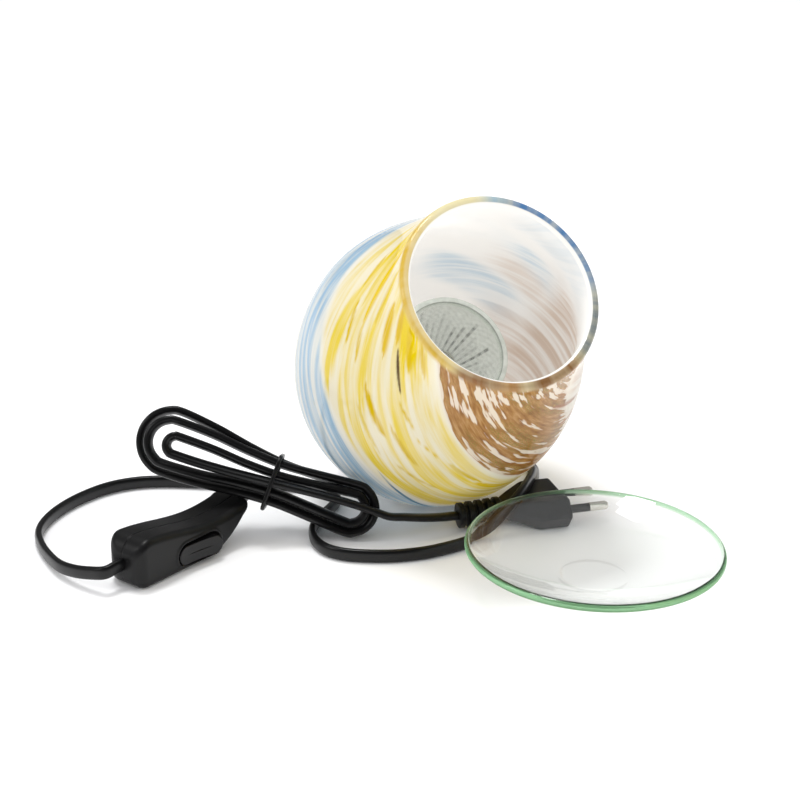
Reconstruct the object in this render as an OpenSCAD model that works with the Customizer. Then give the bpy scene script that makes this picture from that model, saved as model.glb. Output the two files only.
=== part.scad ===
// Electric fragrance lamp, shown tipped over with its glass dish lying beside it.
// The floor is z = 0. The origin is under the middle of the vase and dish together.

/* [Glass vase] */
// Widest diameter of the blown vase
belly_d = 122; // [112:1:130]
// Height of the widest ring above the underside of the glass
belly_height = 55; // [50:1:62]
// Height of the mouth above the widest ring
neck_height = 74; // [66:1:84]
// Outer diameter of the mouth
mouth_d = 85; // [76:1:96]
// How far below its foot the lower curve would close
pole_drop = 8.2; // [7:0.1:10]
// Thickness of the blown wall
glass_wall = 4.2; // [3.4:0.1:5]
// Thickness of the glass floor
glass_floor = 6; // [4.5:0.5:7]
// Diameter of the ground hole in the glass floor
foot_hole_d = 56; // [55:0.5:60]
// Angle by which the lamp is tipped over
tip_angle = 50; // [44:1:56]
// Angle by which the tipped lamp is turned
turn_angle = 24; // [18:1:30]

/* [Base] */
// Diameter of the base plate
plate_d = 66; // [64:1:67]
// Thickness of the base plate
plate_t = 6; // [5.4:0.2:7]
// Thickness of the sealing ring under the glass
gasket_t = 1; // [0.6:0.1:1.4]
// Diameter of a foot pad
pad_d = 10; // [7:0.5:11]
// Thickness of a foot pad
pad_t = 2; // [1.4:0.1:2.2]
// Number of foot pads
pad_count = 3; // [3:1:6]
// Radius of the foot pad circle
pad_circle_r = 25; // [22:0.5:26]
// Direction of the cord outlet round the lamp's axis
outlet_angle = -35; // [-40:1:-30]
// Length of the rubber bushing outside the plate
bushing_out = 11; // [8:0.5:12]
// Length of the rubber bushing inside the plate
bushing_in = 8; // [6:0.5:9]
// Width of a glass clip
clip_w = 9; // [7:0.5:10]
// Thickness of the glass clips and the bracket
sheet_t = 1.2; // [0.8:0.1:1.5]
// Radius of the clip screw circle
clip_circle_r = 24; // [23:0.2:24.4]
// Reach of a clip over the glass floor
clip_reach = 6; // [4:0.5:8]

/* [Socket] */
// Diameter of the ceramic socket
socket_d = 28; // [26:0.5:30]
// Height of the socket's contact block
socket_h = 14; // [13:0.5:16]
// Height of the socket's bottom cap
socket_cap_h = 5; // [4:0.5:6]
// Sideways place of the socket
socket_x = 0.5; // [-3:0.5:3]
// Forward place of the socket
socket_y = -3.5; // [-4:0.5:3]
// Width of the socket bracket
bracket_w = 13; // [11:0.5:14]
// Half the length of the socket bracket
bracket_reach = 21; // [20:0.5:21.5]
// Radius of the bracket's foot screws
bracket_foot_r = 18; // [17.5:0.1:18.4]
// Distance between the two socket screws
socket_screw_pitch = 17; // [16:0.5:18]
// Diameter of the small screws
screw_d = 3; // [2.5:0.1:3.2]
// Diameter of a small screw's head
screw_head_d = 5; // [4.4:0.1:5.2]
// Height of a small screw's head
screw_head_h = 1.6; // [1.2:0.1:2]
// Length of the terminal block
block_len = 15; // [13:0.5:16]
// Depth of the terminal block
block_depth = 7; // [6:0.5:7.5]
// Height of the terminal block
block_h = 6.5; // [6:0.1:6.6]
// Diameter of an insulated core
core_d = 2; // [1.6:0.1:2.2]

/* [Bulb] */
// Diameter of the reflector bulb
bulb_d = 50; // [48:0.5:51]
// Length of the bulb without its pins
bulb_len = 47; // [46:0.5:49]
// Height of the bulb's face above the widest ring of the vase
bulb_rise = 17.6; // [16:0.2:22]
// Thickness of the reflector glass
reflector_wall = 1.4; // [1:0.1:1.8]
// Diameter of the bulb's ceramic base
bulb_base_d = 19; // [18:0.5:20]
// Height of the bulb's ceramic base
bulb_base_h = 21; // [19:0.5:22]
// Diameter of the bulb's cover glass
bulb_glass_d = 45; // [43:0.5:46]
// Thickness of the bulb's cover glass
bulb_glass_t = 1.6; // [1.2:0.1:2]
// Diameter of the halogen capsule
capsule_d = 10; // [8:0.5:11]
// Length of the halogen capsule
capsule_len = 24; // [20:0.5:25]
// Distance between the two bayonet pins
bayonet_pitch = 10; // [9.8:0.1:10.2]
// Diameter of a bayonet pin's head
bayonet_head_d = 5; // [4.8:0.1:5.1]
// Diameter of a bayonet pin's neck
bayonet_neck_d = 3; // [2.6:0.1:3.2]
// Height of a bayonet pin's head
bayonet_head_h = 3; // [2.6:0.1:3.4]
// Length of a bayonet pin's neck
bayonet_neck_h = 4; // [3.8:0.1:4.4]
// Turn that frees the bulb
bayonet_turn = 30; // [25:1:35]

/* [Glass dish] */
// Diameter of the dish
dish_d = 105; // [96:0.2:106]
// Height of the dish
dish_height = 17; // [15:0.5:17.5]
// Thickness of the dish glass
dish_wall = 3.2; // [2.6:0.1:3.6]
// Diameter of the ground flat under the dish
dish_foot_d = 28; // [20:1:32]
// Slope of the dish as it lies against the plug
dish_tilt = 1.6; // [1.4:0.1:1.6]

/* [Cord] */
// Width of the flat cord
cord_w = 5.5; // [5:0.1:5.6]
// Thickness of the flat cord
cord_t = 3.3; // [3:0.1:3.4]
// Distance from the hank's middle to the centres of its end bends
hank_run = 40.3; // [38:0.1:43]
// Radius of the widest bend at the hank's low end
hank_low_r = 10.3; // [10.2:0.1:11]
// Radius of the widest bend at the hank's raised end
hank_high_r = 13.4; // [12.8:0.1:13.8]
// Radius of the last bend at the hank's raised end
hank_inner_r = 3.9; // [3.8:0.1:4.4]
// How far the last bend stays short of the others
hank_inner_short = 3; // [2:0.5:5]
// Step from one loop to the next
hank_step = 3.9; // [3.9:0.05:4]
// How far the tie draws each strand in
hank_pinch = 2.7; // [2:0.1:2.8]
// Lean of the flat cord's sides in the hank
hank_tilt = 20; // [0:1:24]
// Distance between the hank's layers
hank_layer = 6.2; // [6.1:0.1:7]
// Distance of the tie from the hank's middle
hank_tie_at = 5.7; // [3:0.1:8]
// Thickness of the tie
tie_t = 1.8; // [1.2:0.1:2]

/* [Rocker switch] */
// Length of the switch
switch_len = 66; // [64:1:70]
// Height of the switch as it stands on its long side
switch_h = 20.6; // [20:0.2:22]
// Depth of the switch
switch_depth = 20; // [19:0.5:21]
// Wall of the switch shells
switch_wall = 1.8; // [1.4:0.1:2]
// Length of the rocker
rocker_len = 23; // [21:0.5:24]
// Height of the rocker
rocker_h = 8.6; // [8:0.1:9]
// Distance from the switch's blunt end to the rocker's middle
rocker_at = 34.5; // [34:0.5:36]
// Travel of the rocker
rocker_turn = 14; // [10:1:15]
// Diameter of the rocker's trunnions
trunnion_d = 2.4; // [2:0.1:2.6]
// Radial clearance of the trunnions
trunnion_gap = 0.05; // [0.03:0.01:0.08]

/* [Plug] */
// Width of the plug
plug_w = 35.3; // [33:0.1:36]
// Thickness of the plug
plug_h = 13.7; // [13:0.1:13.9]
// Width of the plug's flat sides
plug_flat_w = 26; // [24:0.5:27]
// Length of the plug's full section
plug_full_len = 13; // [11:0.5:15]
// Length of the plug body
plug_len = 26; // [25:0.5:28]
// Distance between the plug pins
pin_pitch = 18.6; // [17.6:0.1:19.2]
// Diameter of a plug pin
pin_d = 4; // [3.9:0.05:4.1]
// Length of a plug pin
pin_len = 19; // [18.5:0.1:19.5]
// Length of a pin's insulating sleeve
sleeve_len = 10; // [9:0.1:10]
// Diameter of a pin's insulating sleeve
sleeve_d = 3.6; // [3.5:0.05:3.65]
// Thickness of a pin's insulating sleeve
sleeve_t = 0.4; // [0.3:0.05:0.5]
// Length of the ribbed strain relief
relief_len = 20; // [18:0.5:22]
// Diameter of the first rib
relief_d = 12.4; // [11:0.2:13]
// Number of ribs
rib_count = 5; // [3:1:6]

/* [Hidden] */
$fn = 96;

// One overrun for every cut, and the gap between pieces that only touch
cut = 0.5;
seat_gap = 0.1;
body_gap = 0.3;

// Where the things stand on the floor
vase_x = -25;
vase_y = 33.6;
dish_x = 35.4;
dish_y = -46.5;
switch_x = -145.9;
switch_y = -57.9;
switch_turn = 52;
plug_x = 26.2;
plug_y = 15;
plug_turn = 16;
hank_x = -101.2;
hank_y = 0.4;
hank_slope = 20;
hank_lean = 20;

// Shape of the vase: the lower curve's power and the number of steps on each curve
lower_share = 2.5;
curve_steps = 20;
belly_r = belly_d / 2;
mouth_r = mouth_d / 2;
glass_z = pad_t + plate_t + gasket_t;
belly_z = glass_z + belly_height;
rim_z = belly_z + neck_height;
lip_r = glass_wall / 2;
lower_pole = belly_height + pole_drop;
plate_r = plate_d / 2;
plate_top = pad_t + plate_t;
clip_z = glass_z + glass_floor;

// Radius of the vase at a height above the base pads
function vase_r(z) = z < belly_z
    ? belly_r * pow(1 - pow((belly_z - z) / lower_pole, lower_share), 1 / lower_share)
    : let (u = (z - belly_z) / neck_height) belly_r - (belly_r - mouth_r) * u * u * (3 - 2 * u);

// The tipped vase rests on its lower curve
rest_z = max([for (i = [0:100]) let (z = glass_z + belly_height * i / 100)
    vase_r(z) * sin(tip_angle) + (belly_z - z) * cos(tip_angle)]);

// Bulb and socket heights, counted down from the bulb's face
bulb_face_z = belly_z + bulb_rise;
bulb_end_z = bulb_face_z - bulb_len;
socket_top_z = bulb_end_z - body_gap;
socket_mid_z = socket_top_z - socket_h;
socket_bottom_z = socket_mid_z - socket_cap_h;
bracket_top_z = socket_bottom_z;
bulb_r = bulb_d / 2;
reflector_h = bulb_len - bulb_base_h;
reflector_neck_r = capsule_d / 2 + reflector_wall + 2 * body_gap;
bulb_lip_h = 2 * bulb_glass_t;
neck_slot_w = bayonet_neck_d + 2 * body_gap;
head_slot_w = bayonet_head_d + 2 * body_gap;
skin_t = bayonet_neck_h - body_gap - 2 * body_gap;
chamber_h = bayonet_head_h + 3 * body_gap;

module lamp_place() {
    translate([vase_x, vase_y, rest_z]) rotate([tip_angle, 0, turn_angle])
        translate([0, 0, -belly_z]) children();
}
module outlet_frame() { lamp_place() rotate([0, 0, outlet_angle]) children(); }
module socket_frame() { outlet_frame() translate([socket_x, socket_y, 0]) children(); }

// The same three placings for a single point or direction
function turn_z(v, a) = [v.x * cos(a) - v.y * sin(a), v.x * sin(a) + v.y * cos(a), v.z];
function turn_x(v, a) = [v.x, v.y * cos(a) - v.z * sin(a), v.y * sin(a) + v.z * cos(a)];
function lamp_dir(v) = turn_z(turn_x(v, tip_angle), turn_angle);
function lamp_point(v) = [vase_x, vase_y, rest_z] + lamp_dir(v - [0, 0, belly_z]);

module ring_of(count, radius) {
    for (i = [0:count - 1]) rotate([0, 0, 360 * i / count]) translate([radius, 0, 0]) children();
}

// A flat cord's section: two round cores side by side in one sheath
module cord_section(gap = 0) {
    for (side = [-1, 1]) translate([0, side * (cord_w - cord_t) / 2]) circle(d = cord_t + 2 * gap, $fn = 32);
    square([cord_t + 2 * gap, cord_w - cord_t], center = true);
}

// Vase
module glass_body() {
    inner_start = clip_z + glass_wall;
    outer = concat(
        [for (i = [0:curve_steps]) let (z = glass_z + belly_height * i / curve_steps) [vase_r(z), z]],
        [for (i = [1:curve_steps]) let (z = belly_z + (neck_height - lip_r) * i / curve_steps)
            [vase_r(z), z]]);
    lip = [for (a = [15:15:165]) [mouth_r - lip_r + lip_r * cos(a), rim_z - lip_r + lip_r * sin(a)]];
    inner = concat(
        [for (i = [curve_steps:-1:0]) let (z = belly_z + (neck_height - lip_r) * i / curve_steps)
            [vase_r(z) - glass_wall, z]],
        [for (i = [1:curve_steps]) let (z = belly_z - (belly_z - inner_start) * i / curve_steps)
            [vase_r(z) - glass_wall, z]]);
    floor_ring = [
        [vase_r(inner_start) - 2 * glass_wall, clip_z],
        [foot_hole_d / 2, clip_z],
        [foot_hole_d / 2, glass_z]];
    color("lightyellow") lamp_place() rotate_extrude() polygon(concat(outer, lip, inner, floor_ring));
}

// Base
channel_z = pad_t + plate_t / 2;
channel_w = cord_w + 4 * seat_gap;
channel_h = cord_t + 4 * seat_gap;
pocket_w = 3 * core_d + 4 * seat_gap;
tail_end = socket_d / 2 - core_d;
block_x = socket_d / 2 - seat_gap;
block_z = plate_top + block_h / 2;
bushing_w = cord_w + 3;
bushing_h = cord_t + 1.4;
module base_plate() {
    boss_r = screw_head_d / 2;
    color("dimgray") outlet_frame() difference() {
        union() {
            translate([0, 0, pad_t]) cylinder(r = plate_r, h = plate_t);
            for (side = [-1, 0, 1]) rotate([0, 0, clip_angle(side)])
                translate([clip_circle_r, 0, plate_top]) cylinder(r = boss_r, h = glass_floor);
        }
        translate([tail_end - block_depth, -channel_w / 2, channel_z - channel_h / 2])
            cube([plate_r, channel_w, channel_h]);
        translate([plate_r - bushing_in, -bushing_w / 2, channel_z - bushing_h / 2])
            cube([bushing_in + cut, bushing_w, bushing_h]);
        translate([tail_end - block_depth, -pocket_w / 2, channel_z - channel_h / 2])
            cube([block_depth + core_d / 2, pocket_w, plate_t]);
        for (side = [-1, 0, 1]) rotate([0, 0, clip_angle(side)])
            translate([clip_circle_r, 0, pad_t + plate_t / 2])
                cylinder(d = screw_d, h = plate_t + glass_floor);
        for (side = [-1, 1]) translate([socket_x, socket_y + side * bracket_foot_r, pad_t + plate_t / 3])
            cylinder(d = screw_d, h = plate_t);
    }
}
function clip_angle(side) = side == 0 ? 180 : side * 50;
module base_gasket() {
    color("black") lamp_place() translate([0, 0, plate_top]) difference() {
        cylinder(r = plate_r - body_gap, h = gasket_t);
        translate([0, 0, -cut]) cylinder(d = foot_hole_d, h = gasket_t + 2 * cut);
    }
}
module foot_pads() {
    color("gray") outlet_frame() rotate([0, 0, 180 / pad_count]) ring_of(pad_count, pad_circle_r)
        cylinder(d = pad_d, h = pad_t);
}
module glass_clips() {
    clip_in = clip_circle_r - screw_head_d / 2 - body_gap;
    color("silver") outlet_frame() for (side = [-1, 0, 1]) rotate([0, 0, clip_angle(side)]) difference() {
        translate([clip_in, -clip_w / 2, clip_z])
            cube([foot_hole_d / 2 + clip_reach - clip_in, clip_w, sheet_t]);
        translate([clip_circle_r, 0, clip_z - cut])
            cylinder(d = screw_d + 2 * seat_gap, h = sheet_t + 2 * cut);
    }
}
module screw(length) {
    cylinder(d = screw_head_d, h = screw_head_h);
    translate([0, 0, -length]) cylinder(d = screw_d, h = length);
}
module clip_screws() {
    color("silver") outlet_frame() for (side = [-1, 0, 1]) rotate([0, 0, clip_angle(side)])
        translate([clip_circle_r, 0, clip_z + sheet_t]) screw(sheet_t + glass_floor);
}

// Socket
leg_x = socket_screw_pitch / 2 + screw_head_d;
module socket_bracket() {
    color("silver") socket_frame() difference() {
        union() {
            translate([-bracket_w / 2, -leg_x, bracket_top_z - sheet_t])
                cube([bracket_w, 2 * leg_x, sheet_t]);
            for (side = [0, 1]) mirror([0, side, 0]) {
                translate([-bracket_w / 2, leg_x - sheet_t, plate_top])
                    cube([bracket_w, sheet_t, bracket_top_z - plate_top]);
                translate([-bracket_w / 2, leg_x - sheet_t, plate_top])
                    cube([bracket_w, bracket_reach - leg_x + sheet_t, sheet_t]);
            }
        }
        for (side = [-1, 1]) {
            translate([0, side * bracket_foot_r, plate_top - cut])
                cylinder(d = screw_d + 2 * seat_gap, h = sheet_t + 2 * cut);
            translate([0, side * socket_screw_pitch / 2, bracket_top_z - sheet_t - cut])
                cylinder(d = screw_d + 2 * seat_gap, h = sheet_t + 2 * cut);
        }
    }
}
module bracket_screws() {
    color("silver") socket_frame() for (side = [-1, 1])
        translate([0, side * bracket_foot_r, plate_top + sheet_t]) screw(sheet_t + plate_t / 2);
}
// A turning slot's outline: round ends about the pins' first and last places, joined by arcs about the axis
slot_share = 1.08;
function slot_outline(width, turn) = let (r = slot_share * width / 2, mid = bayonet_pitch / 2) concat(
    [for (b = [180:15:360]) [mid + r * cos(b), r * sin(b)]],
    [for (a = [5:5:turn - 5]) (mid + r) * [cos(a), sin(a)]],
    [for (b = [0:15:180]) [mid * cos(turn) + r * cos(b + turn), mid * sin(turn) + r * sin(b + turn)]],
    [for (a = [turn - 5:-5:5]) (mid - r) * [cos(a), sin(a)]]);
module bayonet_sweep(width, low, high) {
    for (side = [0, 180]) rotate([0, 0, side])
        translate([0, 0, low]) linear_extrude(high - low) polygon(slot_outline(width, bayonet_turn));
}
chamber_top = socket_top_z - skin_t;
chamber_bottom = chamber_top - chamber_h;
contact_d = bayonet_head_d;
module socket_body() {
    color("ivory") socket_frame() difference() {
        translate([0, 0, socket_mid_z]) cylinder(d = socket_d, h = socket_h);
        bayonet_sweep(neck_slot_w, chamber_top - cut, socket_top_z + cut);
        bayonet_sweep(head_slot_w, chamber_bottom, chamber_top);
        for (side = [0, 180]) rotate([0, 0, side]) {
            rotate([0, 0, bayonet_turn]) translate([bayonet_pitch / 2, 0, chamber_bottom + 2 * cut])
                cylinder(d = head_slot_w, h = socket_h);
            translate([bayonet_pitch / 2, 0, socket_mid_z - cut])
                cylinder(d = contact_d + 2 * seat_gap, h = chamber_bottom - socket_mid_z + 2 * cut);
        }
        for (side = [-1, 1]) translate([0, side * socket_screw_pitch / 2, socket_mid_z - cut])
            cylinder(d = screw_d, h = socket_h / 2);
    }
}
module socket_cap() {
    color("ivory") socket_frame() difference() {
        translate([0, 0, socket_bottom_z]) cylinder(d = socket_d, h = socket_cap_h - seat_gap);
        for (side = [-1, 1]) translate([0, side * socket_screw_pitch / 2, socket_bottom_z - cut])
            cylinder(d = screw_d + 2 * seat_gap, h = socket_cap_h + 2 * cut);
        for (side = [-1, 1])
            translate([bayonet_pitch / 2, side * core_d - socket_y, lead_in_z]) rotate([0, 90, 0])
                cylinder(d = core_d + 2 * seat_gap, h = socket_d / 2);
    }
}
module socket_contacts() {
    color("gold") socket_frame() for (side = [0, 180]) rotate([0, 0, side])
        translate([bayonet_pitch / 2, 0, socket_mid_z])
            cylinder(d = contact_d, h = chamber_bottom - socket_mid_z);
}
module socket_screws() {
    color("silver") socket_frame() for (side = [-1, 1])
        translate([0, side * socket_screw_pitch / 2, bracket_top_z - sheet_t]) rotate([180, 0, 0])
            screw(sheet_t + socket_cap_h + socket_h / 3);
}
module terminal_block() {
    color("white") outlet_frame() difference() {
        translate([block_x, -block_len / 2, plate_top]) cube([block_depth, block_len, block_h]);
        for (side = [-1, 1]) {
            translate([block_x - cut, side * core_d, block_z]) rotate([0, 90, 0])
                cylinder(d = core_d + 2 * seat_gap, h = block_depth + 2 * cut);
            translate([block_x + block_depth / 2, side * core_d, block_z])
                cylinder(d = core_d, h = block_h);
        }
    }
}
module terminal_screws() {
    color("silver") outlet_frame() for (side = [-1, 1])
        translate([block_x + block_depth / 2, side * core_d, block_z + core_d / 2 + seat_gap])
            cylinder(d = core_d - seat_gap, h = block_h / 2 - core_d / 2 - 2 * seat_gap);
}
module half_turn(low_z, high_z, outward) {
    r = (high_z - low_z) / 2;
    translate([0, 0, low_z + r]) rotate([90, 0, 0]) rotate([0, 0, outward ? -90 : 90])
        rotate_extrude(angle = 180) translate([r, 0]) circle(d = core_d, $fn = 24);
}
core_z = pad_t + plate_t / 2;
module mains_cores() {
    run = block_x + block_depth / 2 - tail_end - core_d;
    color("sienna") outlet_frame() for (side = [-1, 1]) translate([tail_end, side * core_d, 0]) {
        half_turn(core_z, block_z, false);
        translate([0, 0, block_z]) rotate([0, 90, 0]) cylinder(d = core_d, h = run, $fn = 24);
    }
}
lead_in_z = socket_bottom_z + socket_cap_h / 2;
module socket_leads() {
    lead_x = block_x + block_depth;
    start = block_x + block_depth / 2 + core_d;
    stop = socket_d / 2 - core_d;
    color("wheat") outlet_frame() for (side = [-1, 1]) translate([0, side * core_d, 0]) {
        translate([start, 0, block_z]) rotate([0, 90, 0]) cylinder(d = core_d, h = lead_x - start, $fn = 24);
        translate([lead_x, 0, 0]) half_turn(block_z, lead_in_z, true);
        translate([stop, 0, lead_in_z]) rotate([0, 90, 0]) cylinder(d = core_d, h = lead_x - stop, $fn = 24);
    }
}
outlet_r = plate_r + bushing_out;
module cord_bushing() {
    inner = plate_r - bushing_in + seat_gap;
    out_w = bushing_w - 2 * seat_gap;
    out_h = bushing_h - 2 * seat_gap;
    color("black") outlet_frame() difference() {
        union() {
            translate([inner, -out_w / 2, channel_z - out_h / 2]) cube([plate_r - inner, out_w, out_h]);
            translate([plate_r, 0, channel_z]) rotate([0, 90, 0]) linear_extrude(bushing_out, scale = 0.8)
                square([out_h, out_w], center = true);
        }
        translate([inner - cut, 0, channel_z]) rotate([0, 90, 0])
            linear_extrude(outlet_r - inner + 2 * cut) cord_section(seat_gap);
    }
}
module cord_tail() {
    color("black") outlet_frame() translate([tail_end, 0, channel_z]) rotate([0, 90, 0])
        linear_extrude(outlet_r - tail_end) cord_section();
}

// Bulb
module bulb_frame() { socket_frame() translate([0, 0, bulb_face_z]) children(); }
function bowl_r(h) = reflector_neck_r + (bulb_r - reflector_neck_r) * sqrt(max(h, 0));
module bulb_reflector() {
    steps = 12;
    depth = reflector_h - bulb_lip_h;
    outer = [for (i = [0:steps]) [bowl_r(i / steps), -reflector_h + depth * i / steps]];
    inner = [for (i = [steps:-1:0]) [bowl_r(i / steps) - reflector_wall, -reflector_h + depth * i / steps]];
    lip_in = bulb_glass_d / 2 + seat_gap;
    color("silver") bulb_frame() rotate_extrude() polygon(concat(outer,
        [[bulb_r, 0], [lip_in, 0], [lip_in, -bulb_glass_t], [lip_in - reflector_wall, -bulb_lip_h]], inner));
}
module bulb_cover_glass() {
    color("azure") bulb_frame() translate([0, 0, seat_gap - bulb_glass_t])
        cylinder(d = bulb_glass_d, h = bulb_glass_t - seat_gap);
}
module bulb_capsule() {
    dome = capsule_d / 2;
    color("white") bulb_frame() translate([0, 0, seat_gap - reflector_h]) difference() {
        union() {
            cylinder(d = capsule_d, h = capsule_len - dome - bulb_lip_h);
            translate([0, 0, capsule_len - dome - bulb_lip_h]) sphere(d = capsule_d, $fn = 48);
        }
        translate([0, 0, capsule_len / 4]) cylinder(d = capsule_d - 2 * reflector_wall, h = capsule_len / 2);
    }
}
module bulb_filament() {
    coil_h = capsule_len / 4;
    color("gray") bulb_frame() translate([0, 0, seat_gap - reflector_h + capsule_len / 4])
        cylinder(d = capsule_d / 5, h = coil_h, $fn = 24);
}
module bulb_base() {
    foot_h = bulb_base_h / 3;
    color("ivory") bulb_frame() translate([0, 0, -bulb_len]) {
        cylinder(d = bulb_base_d, h = bulb_base_h - foot_h / 3);
        translate([0, 0, bulb_base_h - foot_h]) cylinder(d = bulb_base_d + reflector_wall, h = foot_h);
    }
}
module bulb_pins() {
    color("silver") bulb_frame() for (side = [-1, 1]) translate([side * bayonet_pitch / 2, 0, -bulb_len]) {
        translate([0, 0, -bayonet_neck_h]) cylinder(d = bayonet_neck_d, h = bayonet_neck_h);
        translate([0, 0, -bayonet_neck_h - bayonet_head_h]) cylinder(d = bayonet_head_d, h = bayonet_head_h);
    }
}

// Dish
dish_r = dish_d / 2;
dish_foot_r = dish_foot_d / 2;
dish_edge_r = dish_wall / 2;
dish_rise = dish_height - dish_wall;
function dish_z(r) = r < dish_foot_r ? 0
    : dish_rise * (r * r - dish_foot_r * dish_foot_r) / (dish_r * dish_r - dish_foot_r * dish_foot_r);
module glass_dish() {
    steps = 16;
    reach = dish_r - dish_edge_r;
    under = [for (i = [0:steps]) let (r = dish_foot_r + (reach - dish_foot_r) * i / steps) [r, dish_z(r)]];
    over = [for (i = [steps:-1:0]) let (r = dish_foot_r + (reach - dish_foot_r) * i / steps)
        [r, dish_z(r) + dish_wall]];
    edge_z = dish_z(reach) + dish_edge_r;
    edge = [for (a = [-60:20:60]) [reach + dish_edge_r * cos(a), edge_z + dish_edge_r * sin(a)]];
    color("lightcyan", 0.5)
        translate([dish_x, dish_y, dish_foot_r * sin(dish_tilt) * sqrt(2)]) rotate([dish_tilt, dish_tilt, 0])
            rotate_extrude() polygon(concat([[0, 0]], under, edge, over, [[0, dish_wall]]));
}

// Switch. Its own x runs from the blunt end to the raised tip, y from its face to its back.
module switch_place() { translate([switch_x, switch_y, 0]) rotate([0, 0, switch_turn]) children(); }
function switch_point(v) = [switch_x, switch_y, 0] + turn_z(v, switch_turn);
switch_dir = turn_z([1, 0, 0], switch_turn);
top_wave = switch_h / 8;
wave_start_share = 0.05;
wave_len_share = 1.35;
sweep_start_share = 0.6;
tip_low = 0.76 * switch_h;
top_round = 0.4 * switch_h;
low_round = 0.2 * switch_h;
function switch_top(u) = switch_h - top_wave * (1 - cos(360 * (u - wave_start_share) / wave_len_share));
function switch_low(u) = u < sweep_start_share ? 0
    : tip_low * pow((u - sweep_start_share) / (1 - sweep_start_share), 2);
function end_drop(x, r) = x >= r ? 0 : r - sqrt(r * r - pow(r - x, 2));
module switch_outline(inset) {
    steps = 24;
    span = switch_len - 2 * inset;
    polygon(concat(
        [for (i = [0:steps]) let (x = span * i / steps)
            [inset + x, inset + max(switch_low((inset + x) / switch_len), end_drop(x, low_round))]],
        [for (i = [steps:-1:0]) let (x = span * i / steps)
            [inset + x, switch_top((inset + x) / switch_len) - inset - end_drop(x, top_round)]]));
}
// A slab of the outline between two depths
module switch_slab(inset, from, to) {
    translate([0, to, 0]) rotate([90, 0, 0]) linear_extrude(to - from) switch_outline(inset);
}
blunt_z = 0.48 * switch_h;
tip_z = 0.61 * switch_h;
split_y = switch_depth / 2;
// Plan of the switch: soft corners, the widest at the back of the blunt end
back_round = 0.35 * switch_depth;
front_round = 0.15 * switch_depth;
function corner(x, y, r, from) = [for (a = [from:15:from + 90]) [x + r * cos(a), y + r * sin(a)]];
module switch_plan() {
    linear_extrude(switch_h) polygon(concat(
        corner(front_round, front_round, front_round, 180),
        corner(switch_len - front_round, front_round, front_round, 270),
        corner(switch_len - front_round, switch_depth - front_round, front_round, 0),
        corner(back_round, switch_depth - back_round, back_round, 90)));
}
module switch_block(flip) {
    edge = switch_wall;
    mid = split_y;
    intersection() {
        translate([0, flip ? switch_depth : 0, 0]) mirror([0, flip ? 1 : 0, 0]) {
            switch_slab(edge * 0.8, 0, edge / 3);
            switch_slab(edge * 0.3, edge / 3, edge);
            switch_slab(0, edge, mid);
        }
        switch_plan();
    }
}
post_shares = [0.2, 0.8];
switch_posts_x = [for (share = post_shares) share * switch_len];
post_z = switch_h / 2;
post_r = screw_d / 2 + switch_wall;
slot_len = switch_len / 12;
module upright_slot(length) {
    rotate([0, 90, 0]) linear_extrude(length) rotate([0, 0, 90]) cord_section(2 * seat_gap);
}
module switch_cord_slots() {
    translate([-cut, split_y, blunt_z]) upright_slot(slot_len + cut);
    translate([switch_len - slot_len, split_y, tip_z]) upright_slot(slot_len + cut);
}
rocker_z = switch_h / 3;
trunnion_y = 2 * switch_wall;
trunnion_len = rocker_h + 1.5 * switch_wall;
rocker_gap = 0.65;
module rocker_stadium(gap, depth) {
    r = rocker_h / 2;
    rotate([90, 0, 0]) linear_extrude(depth) {
        for (side = [-1, 1]) translate([side * (rocker_len / 2 - r), 0]) circle(r = r + gap, $fn = 48);
        square([rocker_len - 2 * r, 2 * (r + gap)], center = true);
    }
}
// The inside keeps clear of the round corners
module switch_hollow() {
    inner = back_round / 3 + switch_wall;
    translate([inner, 0, 0]) cube([switch_len - 2 * inner, switch_depth, switch_h]);
}
module switch_front_shell() {
    collar_depth = 2 * switch_wall + trunnion_d;
    color("black") switch_place() difference() {
        union() {
            difference() {
                switch_block(false);
                intersection() {
                    switch_slab(1.3 * switch_wall, switch_wall, split_y + cut);
                    switch_hollow();
                }
            }
            intersection() {
                translate([rocker_at, collar_depth, rocker_z])
                    rocker_stadium(rocker_gap + switch_wall, collar_depth - switch_wall / 2);
                switch_slab(0, 0, split_y);
            }
            for (x = switch_posts_x) translate([x, split_y, post_z]) rotate([90, 0, 0])
                cylinder(r = post_r, h = split_y - switch_wall / 2);
        }
        translate([rocker_at, collar_depth + cut, rocker_z])
            rocker_stadium(rocker_gap, collar_depth + 2 * cut);
        translate([rocker_at, trunnion_y, rocker_z - trunnion_len / 2 - seat_gap])
            cylinder(r = trunnion_d / 2 + trunnion_gap, h = trunnion_len + 2 * seat_gap);
        for (x = switch_posts_x) translate([x, split_y + cut, post_z]) rotate([90, 0, 0])
            cylinder(d = screw_d, h = split_y - 2 * switch_wall);
        switch_cord_slots();
    }
}
module switch_back_shell() {
    color("black") switch_place() difference() {
        union() {
            difference() {
                switch_block(true);
                intersection() {
                    switch_slab(1.3 * switch_wall, split_y - cut, switch_depth - switch_wall);
                    switch_hollow();
                }
            }
            for (x = switch_posts_x) translate([x, switch_depth - switch_wall / 2, post_z]) rotate([90, 0, 0])
                cylinder(r = post_r, h = split_y - switch_wall / 2);
        }
        for (x = switch_posts_x) translate([x, switch_depth + cut, post_z]) rotate([90, 0, 0]) {
            cylinder(d = screw_d + 2 * seat_gap, h = switch_depth);
            cylinder(d = screw_head_d + 2 * seat_gap, h = screw_head_h + cut + seat_gap);
        }
        switch_cord_slots();
    }
}
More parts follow.
